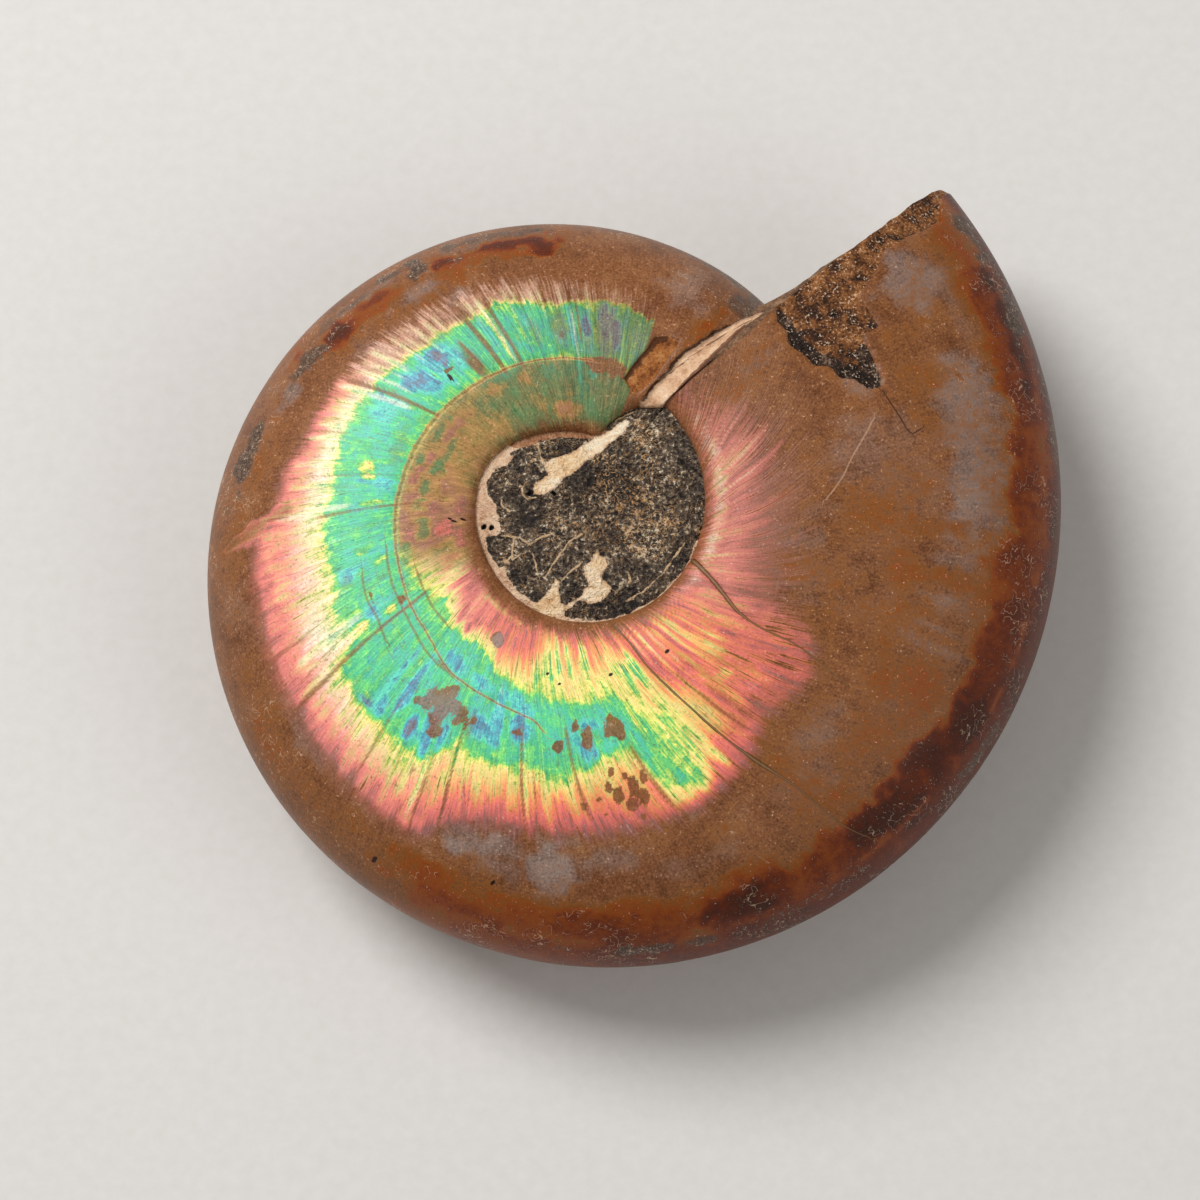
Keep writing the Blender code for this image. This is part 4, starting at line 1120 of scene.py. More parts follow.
def calciteFields(rx, ry, phi, rim):
    # the pale veins, rim, threads and pits of the upper stone, laid out by outlines
    inward = rim - np.hypot(rx, ry)
    rims = {
        name: np.maximum(outlineDistance(rx, ry, stone[name]), along(stone[width], phi) - inward)
        for name, width in (("rimTone", "rimWidth"), ("rimTop", "topWidth"))}
    return {
        **rims,
        "vein": np.maximum.reduce([outlineDistance(rx, ry, outline) for outline in stone["veins"]]),
        "threads": np.minimum.reduce([np.abs(pathDistance(rx, ry, path)) for path in stone["threads"]]),
        "pits": np.minimum.reduce([np.hypot(rx - px, ry - py) for px, py in stone["pits"]]),
    }


def guessedCalcite(rx, ry, radius, rim):
    # the same for the underside, where nothing is known: veins and threads by noise
    return {
        "vein": 0.4 - 12.0 * np.abs(rough(rx / 5.0, ry / 5.0, seed=95, octaves=2)),
        "rimTone": 0.9 - (rim - radius) + 0.8 * rough(rx / 2.5, ry / 2.5, seed=96),
        "rimTop": 0.0 * rx - 9.0,
        "threads": 8.0 * np.abs(rough(rx / 3.0, ry / 3.0, seed=97, octaves=3)) + 0.05,
        "pits": 0.0 * rx + 9.0,
    }


def stoneRelief(fields, rx, ry, dome, seed):
    # lumps with creases between, crystals, calcite standing a little higher, and
    # round pits; the creases' darkness is painted shade, laid on in the material
    pale = np.maximum(np.maximum(fields["vein"], fields["rimTone"]), fields["rimTop"])
    pale = smooth(-0.1, 0.2, pale)
    crystals = stone["crystals"] * smooth(0.8, 0.0, cells(rx / 0.42, ry / 0.42, seed))
    relief = stone["lumps"] * fields["lump"] * (1.0 - 0.7 * pale) + crystals * (1.0 - 0.6 * pale)
    relief = relief + stone["paleRise"] * pale + stone["domes"] * dome * (1.0 - pale)
    relief = relief - stone["pitDepth"] * smooth(0.32, 0.1, fields["pits"])
    return relief + stone["threadRise"] * smooth(0.2, 0.0, fields["threads"])


def makeStone(name, edge, side, gridSize, seed, material):
    # rings from the pole out to the navel's edge, tucked under the shell, then down a
    # wall and back to a lower pole
    columns, rings = gridSize
    around = np.degrees(np.arctan2(edge[:, 1], edge[:, 0])) % 360.0
    order = np.argsort(around)
    phi = np.arange(columns) * 360.0 / columns
    rim = np.interp(phi, around[order], np.hypot(edge[:, 0], edge[:, 1])[order], period=360.0)
    rimHeight = np.interp(phi, around[order], edge[:, 2][order], period=360.0)
    part = (np.arange(1, rings + 1) / rings)[:, None]
    radius = part * (rim + stone["tuck"])
    a = np.radians(phi)
    x, y = radius * np.cos(a), radius * np.sin(a)
    inner = smooth(0.0, stone["levelRun"], 1.0 - part)
    level = mixed(rimHeight - stone["sink"], stone["level"], inner)
    # outlines are looked up a little way off, so that they come out ragged
    rx = x + 0.16 * rough(x / 0.9, y / 0.9, seed=seed)
    rx = rx + 0.12 * rough(x / 0.3, y / 0.3, seed=seed + 5)
    ry = y + 0.16 * rough(x / 0.9, y / 0.9, seed=seed + 10)
    ry = ry + 0.12 * rough(x / 0.3, y / 0.3, seed=seed + 15)
    fields = calciteFields(rx, ry, phi, rim) if side > 0 else guessedCalcite(rx, ry, radius, rim)
    fields["threads"] = fields["threads"] + 0.07 * rough(x / 0.8, y / 0.8, seed=seed + 7)
    fields["gold"] = nearAny(x, y, side, stone["golds"], 1.0)
    fields["black"] = nearAny(x, y, side, stone["blacks"], 1.2)
    fields["lump"] = 1.0 - 2.0 * np.abs(rough(rx / 1.1, ry / 1.1, seed=seed + 20, octaves=3))
    reach = np.stack([np.hypot(rx - px, ry - py * side) / wide for px, py, wide in stone["rounds"]])
    fields["rounds"] = np.minimum(9.0, np.abs(reach - 0.95).min(0))
    dome = np.sqrt(np.clip(1.0 - reach * reach, 0.0, 1.0)).max(0)
    swell = stone["swell"] * rough(x / 4.5, y / 4.5, seed=seed + 9, octaves=2)
    height = level + stoneRelief(fields, rx, ry, dome, seed + 1) + swell * smooth(1.0, 0.85, part)
    height = np.where(part > 0.985, level - 0.5, height)   # the outermost rings dip under the shell
    top = np.stack([x, y, height], -1)
    wall = top[-1:] - np.array([0.0, 0.0, stone["wall"]])
    low = top[-1:] * np.array([0.5, 0.5, 1.0]) - np.array([0.0, 0.0, stone["wall"]])
    skin = np.concatenate([top, wall, low]) * np.array([1.0, 1.0, side])
    poleHeights = (height[0].mean(), level.mean() - stone["wall"])
    poles = np.array([[0.0, 0.0, side * poleHeight] for poleHeight in poleHeights])
    points = np.concatenate([skin.reshape(-1, 3), poles])
    attributes = {
        key: np.concatenate([values.reshape(-1), values[-1], values[-1], [values[0].mean(), 0.0]])
        for key, values in fields.items()}
    i, j = np.meshgrid(np.arange(rings + 1), np.arange(columns), indexing="ij")
    nextJ = (j + 1) % columns
    here, outward = i * columns, (i + 1) * columns
    quads = np.stack([here + j, outward + j, outward + nextJ, here + nextJ], -1)
    ring = np.arange(columns)
    ahead = (ring + 1) % columns
    last = (rings + 1) * columns
    upperFan = np.stack([0 * ring + len(points) - 2, ring, ahead], -1)
    lowerFan = np.stack([0 * ring + len(points) - 1, last + ahead, last + ring], -1)
    faces = [quads.reshape(-1, 4), upperFan, lowerFan]
    if side < 0:
        faces = [block[:, ::-1] for block in faces]
    dress(newMesh(name, laidDown(points), faces, None, attributes, stone["sharp"]), material)


# Shader kit

def paint(red, green, blue):
    # a colour as it shows on a screen, 0 to 255, turned into light
    parts = [channel / 255.0 for channel in (red, green, blue)]
    return tuple(p / 12.92 if p <= 0.04045 else ((p + 0.055) / 1.055) ** 2.4 for p in parts) + (1.0,)


class Signal:
    # a shader socket that can be reckoned with: each sum adds a Math node
    def __init__(self, bench, socket):
        self.bench, self.socket = bench, socket

    def reckon(self, operation, *values):
        return self.bench.make("ShaderNodeMath", {"operation": operation}, dict(enumerate(values)))

    def __add__(self, other):
        return self.reckon("ADD", self, other)

    def __radd__(self, other):
        return self.reckon("ADD", other, self)

    def __sub__(self, other):
        return self.reckon("SUBTRACT", self, other)

    def __rsub__(self, other):
        return self.reckon("SUBTRACT", other, self)

    def __mul__(self, other):
        return self.reckon("MULTIPLY", self, other)

    def __rmul__(self, other):
        return self.reckon("MULTIPLY", other, self)

    def size(self):
        return self.reckon("ABSOLUTE", self)

    def top(self, other):
        return self.reckon("MAXIMUM", self, other)

    def step(self, begin, end):
        # smoothly from 0 at begin to 1 at end
        return self.bench.make(
            "ShaderNodeMapRange", {"interpolation_type": "SMOOTHSTEP"},
            {"Value": self, "From Min": begin, "From Max": end, "To Min": 0.0, "To Max": 1.0})


class Bench:
    # one material and the making of its nodes
    def __init__(self, name):
        self.material = bpy.data.materials.new(name)
        self.material.use_nodes = True
        self.tree = self.material.node_tree
        self.shader = self.tree.nodes["Principled BSDF"]

    def make(self, kind, settings=None, values=None, output=0):
        # a node of a kind, its settings, the values or links of its sockets, its output
        node = self.tree.nodes.new(kind)
        for key, setting in (settings or {}).items():
            if key == "stops":
                stops = node.color_ramp.elements
                while len(stops) < len(setting):
                    stops.new(0.5)
                for stop, (position, colour) in zip(stops, setting):
                    stop.position, stop.color = position, colour
            else:
                setattr(node, key, setting)
        for key, value in (values or {}).items():
            self.feed(node.inputs[key], value)
        return Signal(self, node.outputs[output])

    def feed(self, socket, value):
        if isinstance(value, Signal):
            self.tree.links.new(value.socket, socket)
        else:
            socket.default_value = value

    def wear(self, **values):
        for key, value in values.items():
            self.feed(self.shader.inputs[key.replace("_", " ")], value)

    def fields(self, names):
        # the mesh's own numbers, by name
        kind, output = "ShaderNodeAttribute", 2
        return {name: self.make(kind, {"attribute_name": name}, None, output) for name in names}

    def places(self):
        return self.make("ShaderNodeTexCoord", output=3)

    def scaled(self, vector, by):
        return self.make("ShaderNodeVectorMath", {"operation": "MULTIPLY"}, {0: vector, 1: by})

    def noise(self, vector, scale, detail, roughness, distortion=0.0, dimensions="3D"):
        return self.make("ShaderNodeTexNoise", {"noise_dimensions": dimensions}, {
            "Vector": vector, "Scale": scale, "Detail": detail, "Roughness": roughness,
            "Distortion": distortion})

    def flatNoise(self, vector, scales, *shape):
        return self.noise(self.scaled(vector, scales), 1.0, *shape, dimensions="2D")

    def swing(self, noise):
        # noise that runs either side of zero, mostly between -1 and 1
        return 5.0 * noise - 2.5

    def shaded(self, colour, light):
        return self.make("ShaderNodeVectorMath", {"operation": "SCALE"}, {0: colour, 3: light})

    def colours(self, value, ink):
        stops = [(position, paint(*colour)) for position, colour in inks[ink]]
        return self.make("ShaderNodeValToRGB", {"stops": stops}, {0: value})

    def blend(self, amount, colour, over):
        # a colour, or a plain ink by its name, laid over another
        over = paint(*inks[over]) if isinstance(over, str) else over
        return self.make("ShaderNodeMix", {"data_type": "RGBA"}, {0: amount, 6: colour, 7: over}, 2)

    def bump(self, height, strength, distance):
        values = {"Height": height, "Strength": strength, "Distance": distance}
        return self.make("ShaderNodeBump", None, values)


# Colours as they show in daylight, 0 to 255: plain ones, and ramps of (place, colour)
inks = {
    "brown": (
        (0.20, (74, 38, 18)), (0.38, (108, 64, 34)), (0.50, (134, 84, 50)), (0.62, (156, 106, 68)),
        (0.80, (196, 150, 112))),
    "pearl": (
        (0.0, (138, 136, 146)), (0.06, (106, 156, 186)), (0.14, (94, 186, 198)),
        (0.22, (106, 220, 196)), (0.30, (92, 208, 146)), (0.37, (120, 216, 120)),
        (0.42, (186, 228, 112)), (0.48, (244, 232, 124)), (0.55, (252, 230, 160)),
        (0.62, (250, 208, 146)), (0.68, (252, 184, 142)), (0.75, (250, 158, 134)),
        (0.82, (242, 140, 130)), (0.90, (214, 126, 118)), (1.0, (156, 104, 94))),
    "fire": (
        (0.50, (250, 226, 116)), (0.58, (250, 204, 104)), (0.66, (252, 170, 96)),
        (0.74, (248, 134, 88)), (0.82, (240, 120, 106)), (0.90, (206, 104, 98)), (1.0, (142, 92, 86))),
    "mist": (
        (0.0, (76, 170, 136)), (0.2, (98, 142, 92)), (0.35, (128, 134, 86)), (0.5, (168, 144, 84)),
        (0.65, (190, 142, 88)), (0.8, (166, 116, 96)), (1.0, (214, 116, 102))),
    "rust": (
        (0.22, (140, 90, 48)), (0.36, (134, 78, 26)), (0.50, (140, 64, 6)), (0.66, (102, 34, 0)),
        (0.85, (62, 15, 0)), (1.0, (40, 9, 0))),
    "haze": ((0.3, (100, 76, 64)), (0.5, (136, 110, 98)), (0.7, (166, 142, 130))),
    "bloom": ((0.35, (136, 122, 116)), (0.65, (172, 160, 154))),
    "grey": ((0.3, (44, 34, 28)), (0.5, (86, 66, 52)), (0.65, (124, 104, 88)), (0.8, (190, 172, 154))),
    # painted shade along the keel's edge
    "keel": (84, 48, 26),
    "cream": (255, 248, 222),
    "spiral": (
        (0.1, (140, 76, 46)), (0.5, (176, 104, 64)), (0.8, (218, 168, 118)), (1.0, (200, 160, 110))),
    "growthLine": (120, 74, 44),
    "freckle": (150, 86, 58),
    "scratchGlint": (224, 190, 160),
    "lightSpeck": (255, 236, 212),
    "darkSpeck": (64, 30, 14),
    "pit": (38, 18, 8),
    "crack": ((0.30, (130, 100, 64)), (0.60, (104, 74, 44)), (0.80, (66, 42, 24)), (1.0, (84, 54, 34))),
    "hairCrack": (58, 32, 18),
    "paleLine": (232, 186, 150),
    "crust": (
        (0.26, (18, 10, 6)), (0.42, (66, 38, 20)), (0.54, (120, 74, 38)), (0.66, (160, 106, 62)),
        (0.78, (206, 170, 134)), (0.9, (236, 216, 190))),
    "crustEdge": ((0.35, (20, 13, 10)), (0.55, (52, 38, 30)), (0.75, (150, 126, 108))),
    "crustFleck": (226, 202, 176),
    "chip": ((0.3, (98, 50, 20)), (0.5, (154, 92, 42)), (0.7, (186, 128, 74))),
    "chipEdge": (66, 34, 16),
    "face": ((0.30, (62, 43, 32)), (0.5, (116, 84, 60)), (0.70, (162, 126, 94))),
    "strip": (
        (0.3, (170, 122, 88)), (0.48, (216, 174, 138)), (0.62, (232, 196, 162)),
        (0.75, (246, 220, 192))),
    "stripShade": (150, 116, 90),
    "stripEdge": (52, 30, 18),
    "stripCrack": (84, 58, 40),
    # painted shadow in the groove beside the strip
    "groove": (100, 58, 38),
    "stone": (
        (0.22, (10, 6, 4)), (0.36, (36, 26, 19)), (0.48, (74, 60, 47)), (0.58, (112, 96, 78)),
        (0.68, (164, 146, 122)), (0.80, (232, 216, 192))),
    "tan": ((0.3, (146, 98, 52)), (0.5, (188, 142, 92)), (0.7, (222, 186, 142))),
    "stoneSpeck": (236, 220, 194),
    # painted shade in the creases between the lumps
    "creaseShade": (16, 11, 8),
    "ring": (14, 10, 8),
    "thread": (218, 182, 140),
    "rim": ((0.3, (176, 122, 88)), (0.5, (222, 184, 150)), (0.7, (244, 216, 186))),
    "rimTop": ((0.3, (124, 76, 50)), (0.5, (166, 114, 78)), (0.7, (206, 160, 124))),
    "calcite": (
        (0.25, (190, 132, 84)), (0.42, (236, 198, 150)), (0.55, (252, 226, 190)),
        (0.7, (255, 244, 218))),
    "calciteEdge": (176, 116, 72),
    "stonePit": (20, 11, 7),
    "floor": ((0.3, (218, 215, 210)), (0.7, (223, 220, 216))),
}

# The names of the mesh's numbers that a material reads, and its noise. Noise in space
# is scale, detail, roughness and distortion. Noise on the coil's map is the changes
# along and across it, then detail and the rest.
pearlFinish = {
    "reads": (
        "phase", "pearl", "film", "white", "fringe", "cloudy", "mist", "gap", "bright", "warm",
        "bareLine", "rust", "haze", "dark", "bare", "pits", "crack", "hairCrack", "paleLine", "spiral",
        "threads", "crust", "crustEdge", "chip", "chipEdge", "share", "broken", "dim", "fray", "clump",
        "scar", "scarEdge", "scarCrack", "groove"),
    "grain": (4300.0, 2.0, 0.65),                # a quarter of a millimetre
    "mottle": (1150.0, 3.0, 0.65),               # one millimetre
    "cloud": (230.0, 2.0, 0.55),                 # four millimetres
    "hairs": (1150.0, 1.0, 0.5, 0.4),
    "streak": ((700.0, 10.0, 1.0), 2.0, 0.65),
    "broad": ((170.0, 9.0, 1.0), 2.0, 0.6),
    "ridges": ((380.0, 7.0, 1.0), 1.0, 0.5, 0.2),
    "tiles": (330.0, 62.0, 1.0),
    "specular": 0.22, "bump": (0.5, 0.00004),    # strength, and distance in metres
}


def fossilColour(bench, field, noises):
    # the bare brown fossil and its stains, with painted shade darkening the keel's edge and, in part,
    # the rust along its rim
    grain, mottle, cloud, streak = noises[:4]
    tone = 0.5 + 0.035 * mottle + 0.065 * grain + 0.07 * cloud + 0.03 * streak
    colour = bench.colours(tone, "brown")
    haze = (field["haze"] + 0.05 * mottle + 0.06 * grain + 0.14 * cloud).step(0.0, 0.9)
    colour = bench.blend(haze * 0.85, colour, bench.colours(tone, "haze"))
    bloom = (field["haze"] + 0.10 * mottle + 0.06 * grain + 0.3 * cloud).step(0.55, 1.55)
    colour = bench.blend(bloom * 0.55, colour, bench.colours(tone, "bloom"))
    # painted shade: the keel's edge darkened all round, where the flank turns away from the light
    keel = (field["share"] + 0.012 * mottle).step(0.93, 0.99)
    colour = bench.blend(keel * 0.42, colour, "keel")
    rustTone = field["rust"] + 0.10 * mottle + 0.08 * grain + 0.10 * cloud
    colour = bench.blend(rustTone.step(0.12, 0.42) * 0.92, colour, bench.colours(rustTone, "rust"))
    dark = (field["dark"] + 0.22 * grain + 0.2 * mottle).step(0.3, 0.7)
    darkTone = 0.46 + 0.22 * grain + 0.12 * mottle
    return bench.blend(dark * 0.9, colour, bench.colours(darkTone, "grey"))


def nacreColour(bench, field, noises, tileTone):
    # the colours of the mother of pearl, broken up along the growth lines
    grain, mottle, _, streak, broad = noises
    fringe = field["fringe"]
    phase = field["phase"] + (0.022 + 0.065 * fringe) * streak + (0.022 + 0.075 * fringe) * broad
    phase = phase + 0.02 * grain + 0.02 * mottle + 0.08 * (tileTone - 0.5)
    nacre = bench.colours(phase, "pearl")
    nacre = bench.blend(field["warm"] * phase.step(0.50, 0.60), nacre, bench.colours(phase, "fire"))
    misty = field["mist"] + 0.06 * mottle + 0.05 * grain + 0.03 * streak
    nacre = bench.blend(field["cloudy"], nacre, bench.colours(misty, "mist"))
    white = (field["white"] + 0.16 * streak + 0.10 * grain + 0.1 * broad).step(0.15, 1.1)
    bright = (field["bright"] + 0.15 * streak + 0.1 * grain).step(0.3, 1.1)
    white = white.top(bright * phase.step(0.86, 0.62) * 0.7)
    # cream over the pearl: pale pearl, partly painted highlight
    nacre = bench.blend(white * 0.78, nacre, "cream")
    # the pearl darkened by its painted shade
    return bench.shaded(nacre, field["dim"])


def nacreShown(field, noises):
    # how much of it shows: less at its edges, on bare patches and lines, and on threads
    grain, mottle, _, streak, broad = noises
    fringe = field["fringe"]
    shine = field["pearl"] + (0.06 + 0.34 * fringe) * streak + (0.04 + 0.20 * fringe) * broad
    shown = (shine + 0.05 * mottle).step(0.30, 0.72) * field["film"]
    reach = field["gap"] + field["fray"] * (0.016 * streak + 0.012 * broad) + 0.004 * mottle
    shown = shown * (reach + 0.02 * field["bright"]).step(-0.020, 0.030)
    shown = shown * (1 - 0.92 * (field["bare"] + 0.16 * grain + 0.16 * mottle).step(0.38, 0.60))
    shown = shown * (1 - 0.80 * (field["bareLine"] + 0.14 * grain + 0.12 * streak).step(0.30, 0.95))
    return shown * (1 - 0.6 * (field["threads"] + 0.05 * mottle).size().step(0.20, 0.05))


def scratched(bench, colour, field, noises, shown, hairs):
    # specks, scratches, pits and cracks; the pale scratches and light specks are partly painted glints
    grain, mottle, cloud = noises[:3]
    hair = hairs.size().step(0.018, 0.004)
    hairPick = (0.7 * mottle + 1.5 * cloud + field["share"].step(0.80, 0.96)).step(1.0, 1.7)
    # pale scratches, partly real and partly painted glints
    colour = bench.blend(hair * hairPick * (1 - 0.7 * shown) * 0.5, colour, "scratchGlint")
    # light specks, partly painted glints
    colour = bench.blend((grain + 0.3 * mottle).step(0.85, 1.25) * 0.35, colour, "lightSpeck")
    colour = bench.blend((grain - 0.3 * mottle).step(-0.85, -1.25) * 0.40, colour, "darkSpeck")
    colour = bench.blend(field["pits"].step(0.2, 0.5), colour, "pit")
    crack = (field["crack"] + 0.15 * mottle).size() + 0.12 * grain
    colour = bench.blend(crack.step(1.35, 0.85) * 0.9, colour, bench.colours(crack, "crack"))
    hairCrack = (field["hairCrack"] + 0.05 * mottle).size().step(0.10, 0.04)
    colour = bench.blend(hairCrack * 0.85, colour, "hairCrack")
    paleLine = (field["paleLine"] + 0.04 * mottle).size().step(0.12, 0.02)
    return bench.blend(paleLine * 0.35, colour, "paleLine")


def mouthRock(bench, colour, field, noises, rock, broken, inScar):
    # bare rock at the mouth, the chip and the strip at the notch, and the broken face, with painted
    # shadow in the chip and in the groove, and partly along the strip's upper edge and the rock's dark
    # edge
    grain, mottle = noises[:2]
    crustColour = bench.colours(rock, "crust")
    # partly black sediment, partly painted shade in the recess
    sedimentAndShade = (field["crustEdge"] + 0.22 * mottle).step(1.15, 0.8)
    crustColour = bench.blend(sedimentAndShade * 0.92, crustColour, bench.colours(rock, "crustEdge"))
    crustColour = bench.blend((grain - 0.5 * mottle).step(0.55, 0.95) * 0.7, crustColour, "crustFleck")
    colour = bench.blend((field["crust"] + 0.05 * mottle).step(-0.03, 0.05), colour, crustColour)
    # painted shadow inside the chip along its upper edge
    chipEdge = (field["chipEdge"] + 0.2 * mottle).step(0.5, 0.25)
    chipColour = bench.blend(chipEdge * 0.85, bench.colours(rock, "chip"), "chipEdge")
    colour = bench.blend((field["chip"] + 0.04 * mottle).step(-0.03, 0.05), colour, chipColour)
    colour = bench.blend(broken, colour, bench.colours(rock, "face"))
    strip = bench.colours(0.5 + 0.10 * mottle + 0.08 * grain + 0.10 * field["clump"], "strip")
    shade = (field["scarEdge"] + 0.1 * mottle).step(0.85, 0.45)
    strip = bench.blend(shade * 0.7, strip, "stripShade")
    # the strip's upper edge: partly dark rock, partly painted shadow
    rim = (field["scarEdge"] + 0.12 * mottle + 0.06 * grain).step(0.40, 0.22)
    strip = bench.blend(rim * 0.9, strip, "stripEdge")
    strip = bench.blend((field["scarCrack"] + 0.03 * mottle).step(0.12, 0.05) * 0.8, strip, "stripCrack")
    colour = bench.blend(inScar, colour, strip)
    # painted shadow in the groove between the mouth's edge and the strip
    groove = (field["groove"] + 0.08 * mottle).size().step(0.30, 0.16)
    return bench.blend(groove * 0.85, colour, "groove")


def pearlMaterial():
    bench = Bench("ammonite_pearl")
    place = bench.places()
    coilMap = bench.make("ShaderNodeUVMap", {"uv_map": "coil"})
    field = bench.fields(pearlFinish["reads"])
    inSpace = [bench.noise(place, *pearlFinish[name]) for name in ("grain", "mottle", "cloud", "hairs")]
    onCoil = [bench.flatNoise(coilMap, *pearlFinish[name]) for name in ("streak", "broad", "ridges")]
    noises = [bench.swing(noise) for noise in inSpace[:3] + onCoil[:2]]
    grain, mottle, _, streak, broad = noises
    growthLine = (onCoil[2] - 0.5).size().step(0.030, 0.0)
    tile = bench.make("ShaderNodeTexVoronoi", {"voronoi_dimensions": "2D"},
                      {"Vector": bench.scaled(coilMap, pearlFinish["tiles"]), "Scale": 1.0}, 1)
    tileTone = bench.make("ShaderNodeSeparateColor", None, {0: tile})

    shown = nacreShown(field, noises)
    colour = fossilColour(bench, field, noises)
    colour = bench.blend(shown, colour, nacreColour(bench, field, noises, tileTone))
    spiral = (field["spiral"] + 0.30 * mottle).size() + 0.15 * grain
    colour = bench.blend(spiral.step(1.15, 0.75) * 0.68, colour, bench.colours(spiral, "spiral"))
    colour = bench.blend(growthLine * shown * (0.5 + 0.3 * broad) * 0.7, colour, "growthLine")
    freckle = (grain + 0.7 * mottle).step(-0.95, -1.35) * shown
    colour = bench.blend(freckle * 0.55, colour, "freckle")
    light = 1.0 + 0.16 * grain + 0.07 * mottle
    light = light + (0.12 * streak + 0.08 * broad + 0.25 * (tileTone - 0.5)) * shown
    # stronger streaks where the painted shade darkens the pearl
    light = light + (1 - field["dim"]) * (0.6 * streak + 0.5 * broad) * shown
    colour = bench.shaded(colour, light)
    colour = scratched(bench, colour, field, noises, shown, inSpace[3] - 0.5)

    rock = 0.5 + 0.13 * mottle + 0.12 * grain + 0.10 * field["clump"]
    broken = field["broken"].step(0.3, 0.7)
    inScar = (field["scar"] + 0.05 * mottle).step(-0.04, 0.06)
    bench.wear(Base_Color=mouthRock(bench, colour, field, noises, rock, broken, inScar))

    # polish: smooth where pearl shows, dull on rock
    dull = field["crust"].step(0.0, 0.1).top(field["chip"].step(0.0, 0.1)).top(broken).top(inScar)
    gloss = 0.40 - 0.06 * shown + 0.05 * grain + 0.35 * dull
    bench.wear(Roughness=gloss, Specular_IOR_Level=pearlFinish["specular"])
    height = 0.35 * streak + 0.35 * grain + dull * (6.0 * rock - 3.0) * 2.0
    bench.wear(Normal=bench.bump(height, *pearlFinish["bump"]))
    return bench.material


stoneFinish = {
    "reads": ("vein", "rimTone", "rimTop", "threads", "gold", "black", "pits", "rounds", "lump"),
    "grain": (2700.0, 2.0, 0.75),                # a third of a millimetre
    "mottle": (1200.0, 3.0, 0.65, 0.8),          # most of a millimetre
    "cloud": (330.0, 2.0, 0.5),                  # three millimetres
    "curls": (900.0, 1.0, 0.5, 2.2),
    "specular": 0.35, "bump": (0.9, 0.00032),
}


def darkRock(bench, field, grain, mottle, cloud, curls):
    # grains of black, grey and white, with tan laced through them
    tone = 0.45 + 0.20 * grain + 0.13 * mottle + 0.04 * cloud - 0.13 * field["black"]
    tone = tone + 0.06 * field["lump"] + 0.04 * field["gold"]
    colour = bench.colours(tone, "stone")
    tan = bench.colours(0.5 + 0.16 * grain + 0.1 * cloud, "tan")
    speck = grain + 0.35 * mottle + 0.35 * field["gold"] - 0.3 * field["black"] + 0.3 * cloud
    colour = bench.blend(speck.step(0.62, 1.0) * 0.7, colour, "stoneSpeck")
    # painted shade in the creases between the lumps
    colour = bench.blend((0.7 * mottle - 0.5 * field["lump"]).step(0.15, 0.75) * 0.6, colour, "creaseShade")
    laced = (curls + 0.008 * grain).step(0.034, 0.014)
    laced = laced * (field["gold"] + 0.35 * cloud + 0.30).step(0.15, 0.75)
    colour = bench.blend(laced * 0.85, colour, tan)
    goldPick = (0.30 * mottle + 0.30 * grain + 0.40 * field["gold"]).step(0.36, 0.62)
    colour = bench.blend(goldPick * 0.85, colour, tan)
    colour = bench.blend(field["rounds"].step(0.28, 0.05) * 0.55, colour, "ring")
    thread = (field["threads"] + 0.04 * mottle + 0.03 * grain).step(0.11, 0.04)
    return bench.blend(thread * 0.85, colour, "thread")


def stoneMaterial():
    bench = Bench("navel_stone")
    place = bench.places()
    field = bench.fields(stoneFinish["reads"])
    names = ("grain", "mottle", "cloud", "curls")
    grain, mottle, cloud, curls = (bench.noise(place, *stoneFinish[name]) for name in names)
    grain, mottle, cloud = (bench.swing(noise) for noise in (grain, mottle, cloud))
    colour = darkRock(bench, field, grain, mottle, cloud, (curls - 0.5).size())

    # calcite: the rim, browner along its top, and the veins
    ragged = 0.05 * mottle + 0.03 * grain
    rim = bench.colours(0.5 + 0.10 * cloud + 0.10 * mottle + 0.06 * grain, "rim")
    rimTop = bench.colours(0.5 + 0.12 * mottle + 0.08 * grain, "rimTop")
    calcite = bench.colours(0.5 + 0.12 * cloud + 0.10 * mottle + 0.06 * grain, "calcite")
    colour = bench.blend((field["rimTone"] + ragged).step(-0.05, 0.05), colour, rim)
    colour = bench.blend((field["rimTop"] + ragged).step(-0.05, 0.05), colour, rimTop)
    # the veins' darker edges: partly an orange-brown tint, partly painted shade
    veinEdge = (field["vein"] + 2.0 * ragged).step(0.30, 0.02)
    calcite = bench.blend(veinEdge * 0.45, calcite, "calciteEdge")
    colour = bench.blend((field["vein"] + ragged).step(-0.05, 0.05), colour, calcite)
    colour = bench.blend((field["pits"] + 0.05 * mottle).step(0.34, 0.24), colour, "stonePit")
    bench.wear(Base_Color=colour, Roughness=0.50 + 0.08 * grain)
    bench.wear(Specular_IOR_Level=stoneFinish["specular"])
    bench.wear(Normal=bench.bump(0.3 * mottle + 0.3 * grain, *stoneFinish["bump"]))
    return bench.material


def floorMaterial():
    bench = Bench("pale_floor")
    grain = bench.noise(bench.places(), *studio["floorGrain"])
    bench.wear(Base_Color=bench.colours(grain, "floor"), Roughness=0.85, Specular_IOR_Level=0.2)
    return bench.material


# Camera, lights and floor

studio = {
    "cameraAt": (-0.00491, -0.09269, 0.40218), "lookAt": (-0.00349, -0.00221, 0.01255), "roll": 0.21,
    "lens": 120.0,
    "keyAt": (-0.42, 0.36, 0.70), "keyPower": 6.6, "keySize": 0.45,
    "fillAt": (0.55, -0.30, 0.55), "fillPower": 1.2, "fillSize": 0.6,
    "lightsMeet": (0.0, 0.0, 0.01),
    "skyStrength": 0.29, "skyColour": (1.0, 0.985, 0.965, 1.0),
    "floorSize": 3.0, "floorGrain": (700.0, 3.0, 0.6),
}


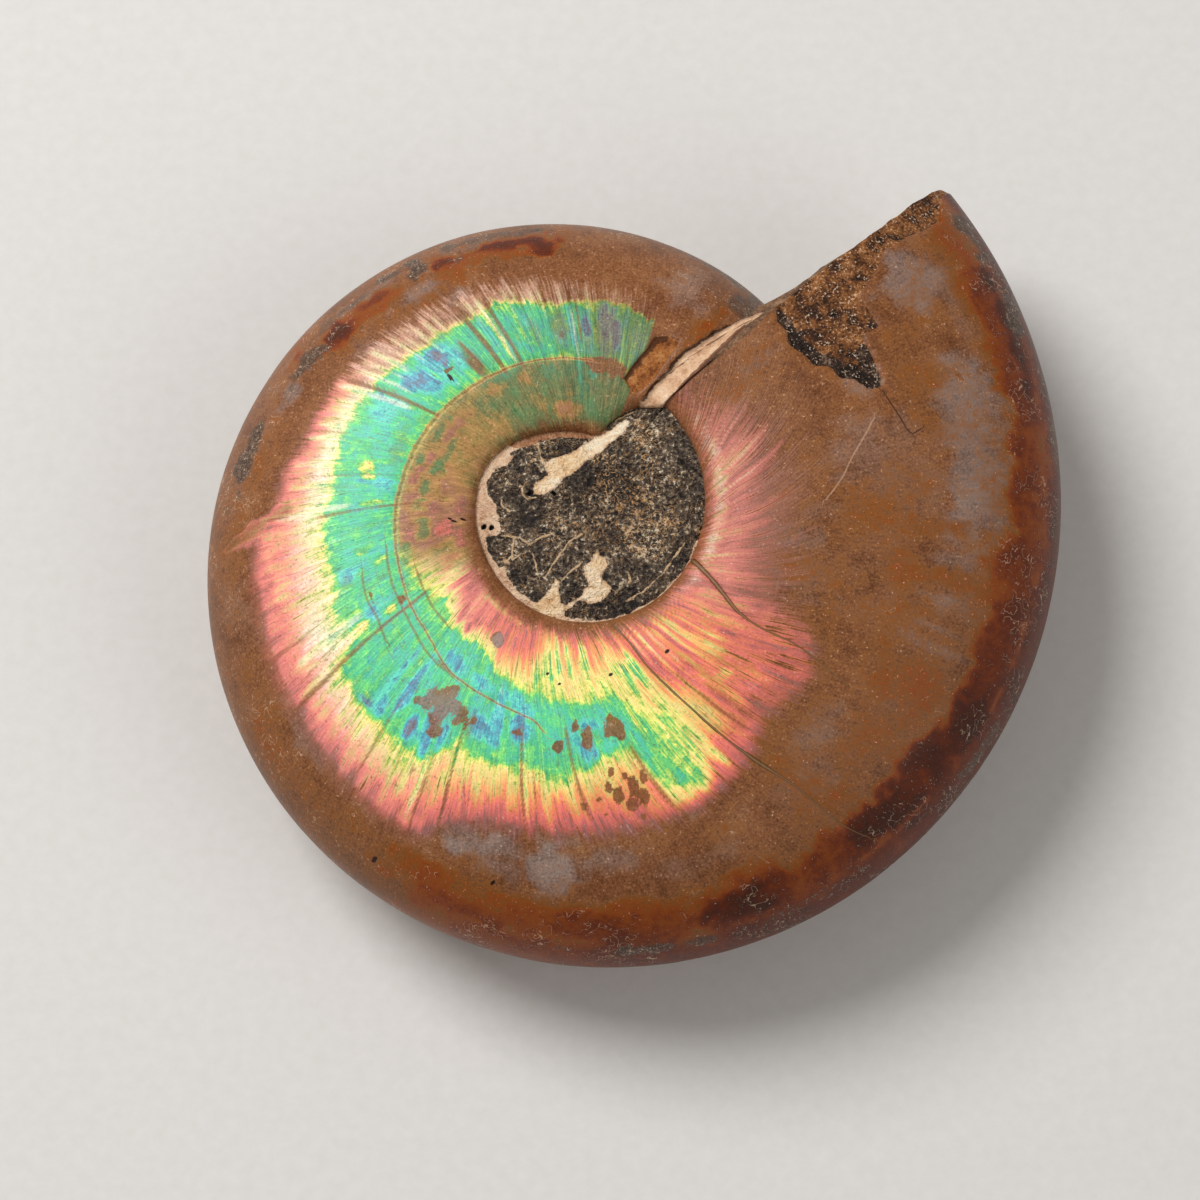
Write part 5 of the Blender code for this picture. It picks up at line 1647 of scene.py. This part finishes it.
def addCamera():
    # at the photograph's angle, turned a little about the way it looks
    data = bpy.data.cameras.new("camera")
    data.lens = studio["lens"]
    data.sensor_width = 36.0
    data.clip_start, data.clip_end = 0.01, 10.0
    camera = bpy.data.objects.new("camera", data)
    bpy.context.scene.collection.objects.link(camera)
    camera.location = studio["cameraAt"]
    look = Vector(studio["lookAt"]) - Vector(studio["cameraAt"])
    turn = look.to_track_quat("-Z", "Y") @ Quaternion((0.0, 0.0, 1.0), math.radians(studio["roll"]))
    camera.rotation_mode = "QUATERNION"
    camera.rotation_quaternion = turn
    bpy.context.scene.camera = camera


def addLight(name, place, power, size):
    # a round soft light, turned to the object
    data = bpy.data.lights.new(name, "AREA")
    data.shape, data.size, data.energy = "DISK", size, power
    light = bpy.data.objects.new(name, data)
    bpy.context.scene.collection.objects.link(light)
    light.location = place
    towards = Vector(studio["lightsMeet"]) - Vector(place)
    light.rotation_euler = towards.to_track_quat("-Z", "Y").to_euler()


def addStudio():
    addCamera()
    addLight("key_light", studio["keyAt"], studio["keyPower"], studio["keySize"])
    addLight("fill_light", studio["fillAt"], studio["fillPower"], studio["fillSize"])
    world = bpy.data.worlds.new("studio")
    bpy.context.scene.world = world
    world.use_nodes = True
    sky = world.node_tree.nodes["Background"]
    sky.inputs["Color"].default_value = studio["skyColour"]
    sky.inputs["Strength"].default_value = studio["skyStrength"]
    half = 0.5 * studio["floorSize"]
    corners = [(-half, -half, 0.0), (half, -half, 0.0), (half, half, 0.0), (-half, half, 0.0)]
    mesh = bpy.data.meshes.new("floor")
    mesh.from_pydata(corners, [], [(0, 1, 2, 3)])
    floor = bpy.data.objects.new("floor", mesh)
    floor.data.materials.append(floorMaterial())
    bpy.context.scene.collection.objects.link(floor)
    bpy.context.scene.view_settings.view_transform = "Standard"


addStudio()
print("studio ready")
navelEdge = makeShell(pearlMaterial())
print("shell ready")
navelStone = stoneMaterial()
makeStone("navel_stone_top", navelEdge, 1.0, stone["topGrid"], stone["topSeed"], navelStone)
makeStone("navel_stone_under", navelEdge, -1.0, stone["underGrid"], stone["underSeed"], navelStone)
print("stones ready")
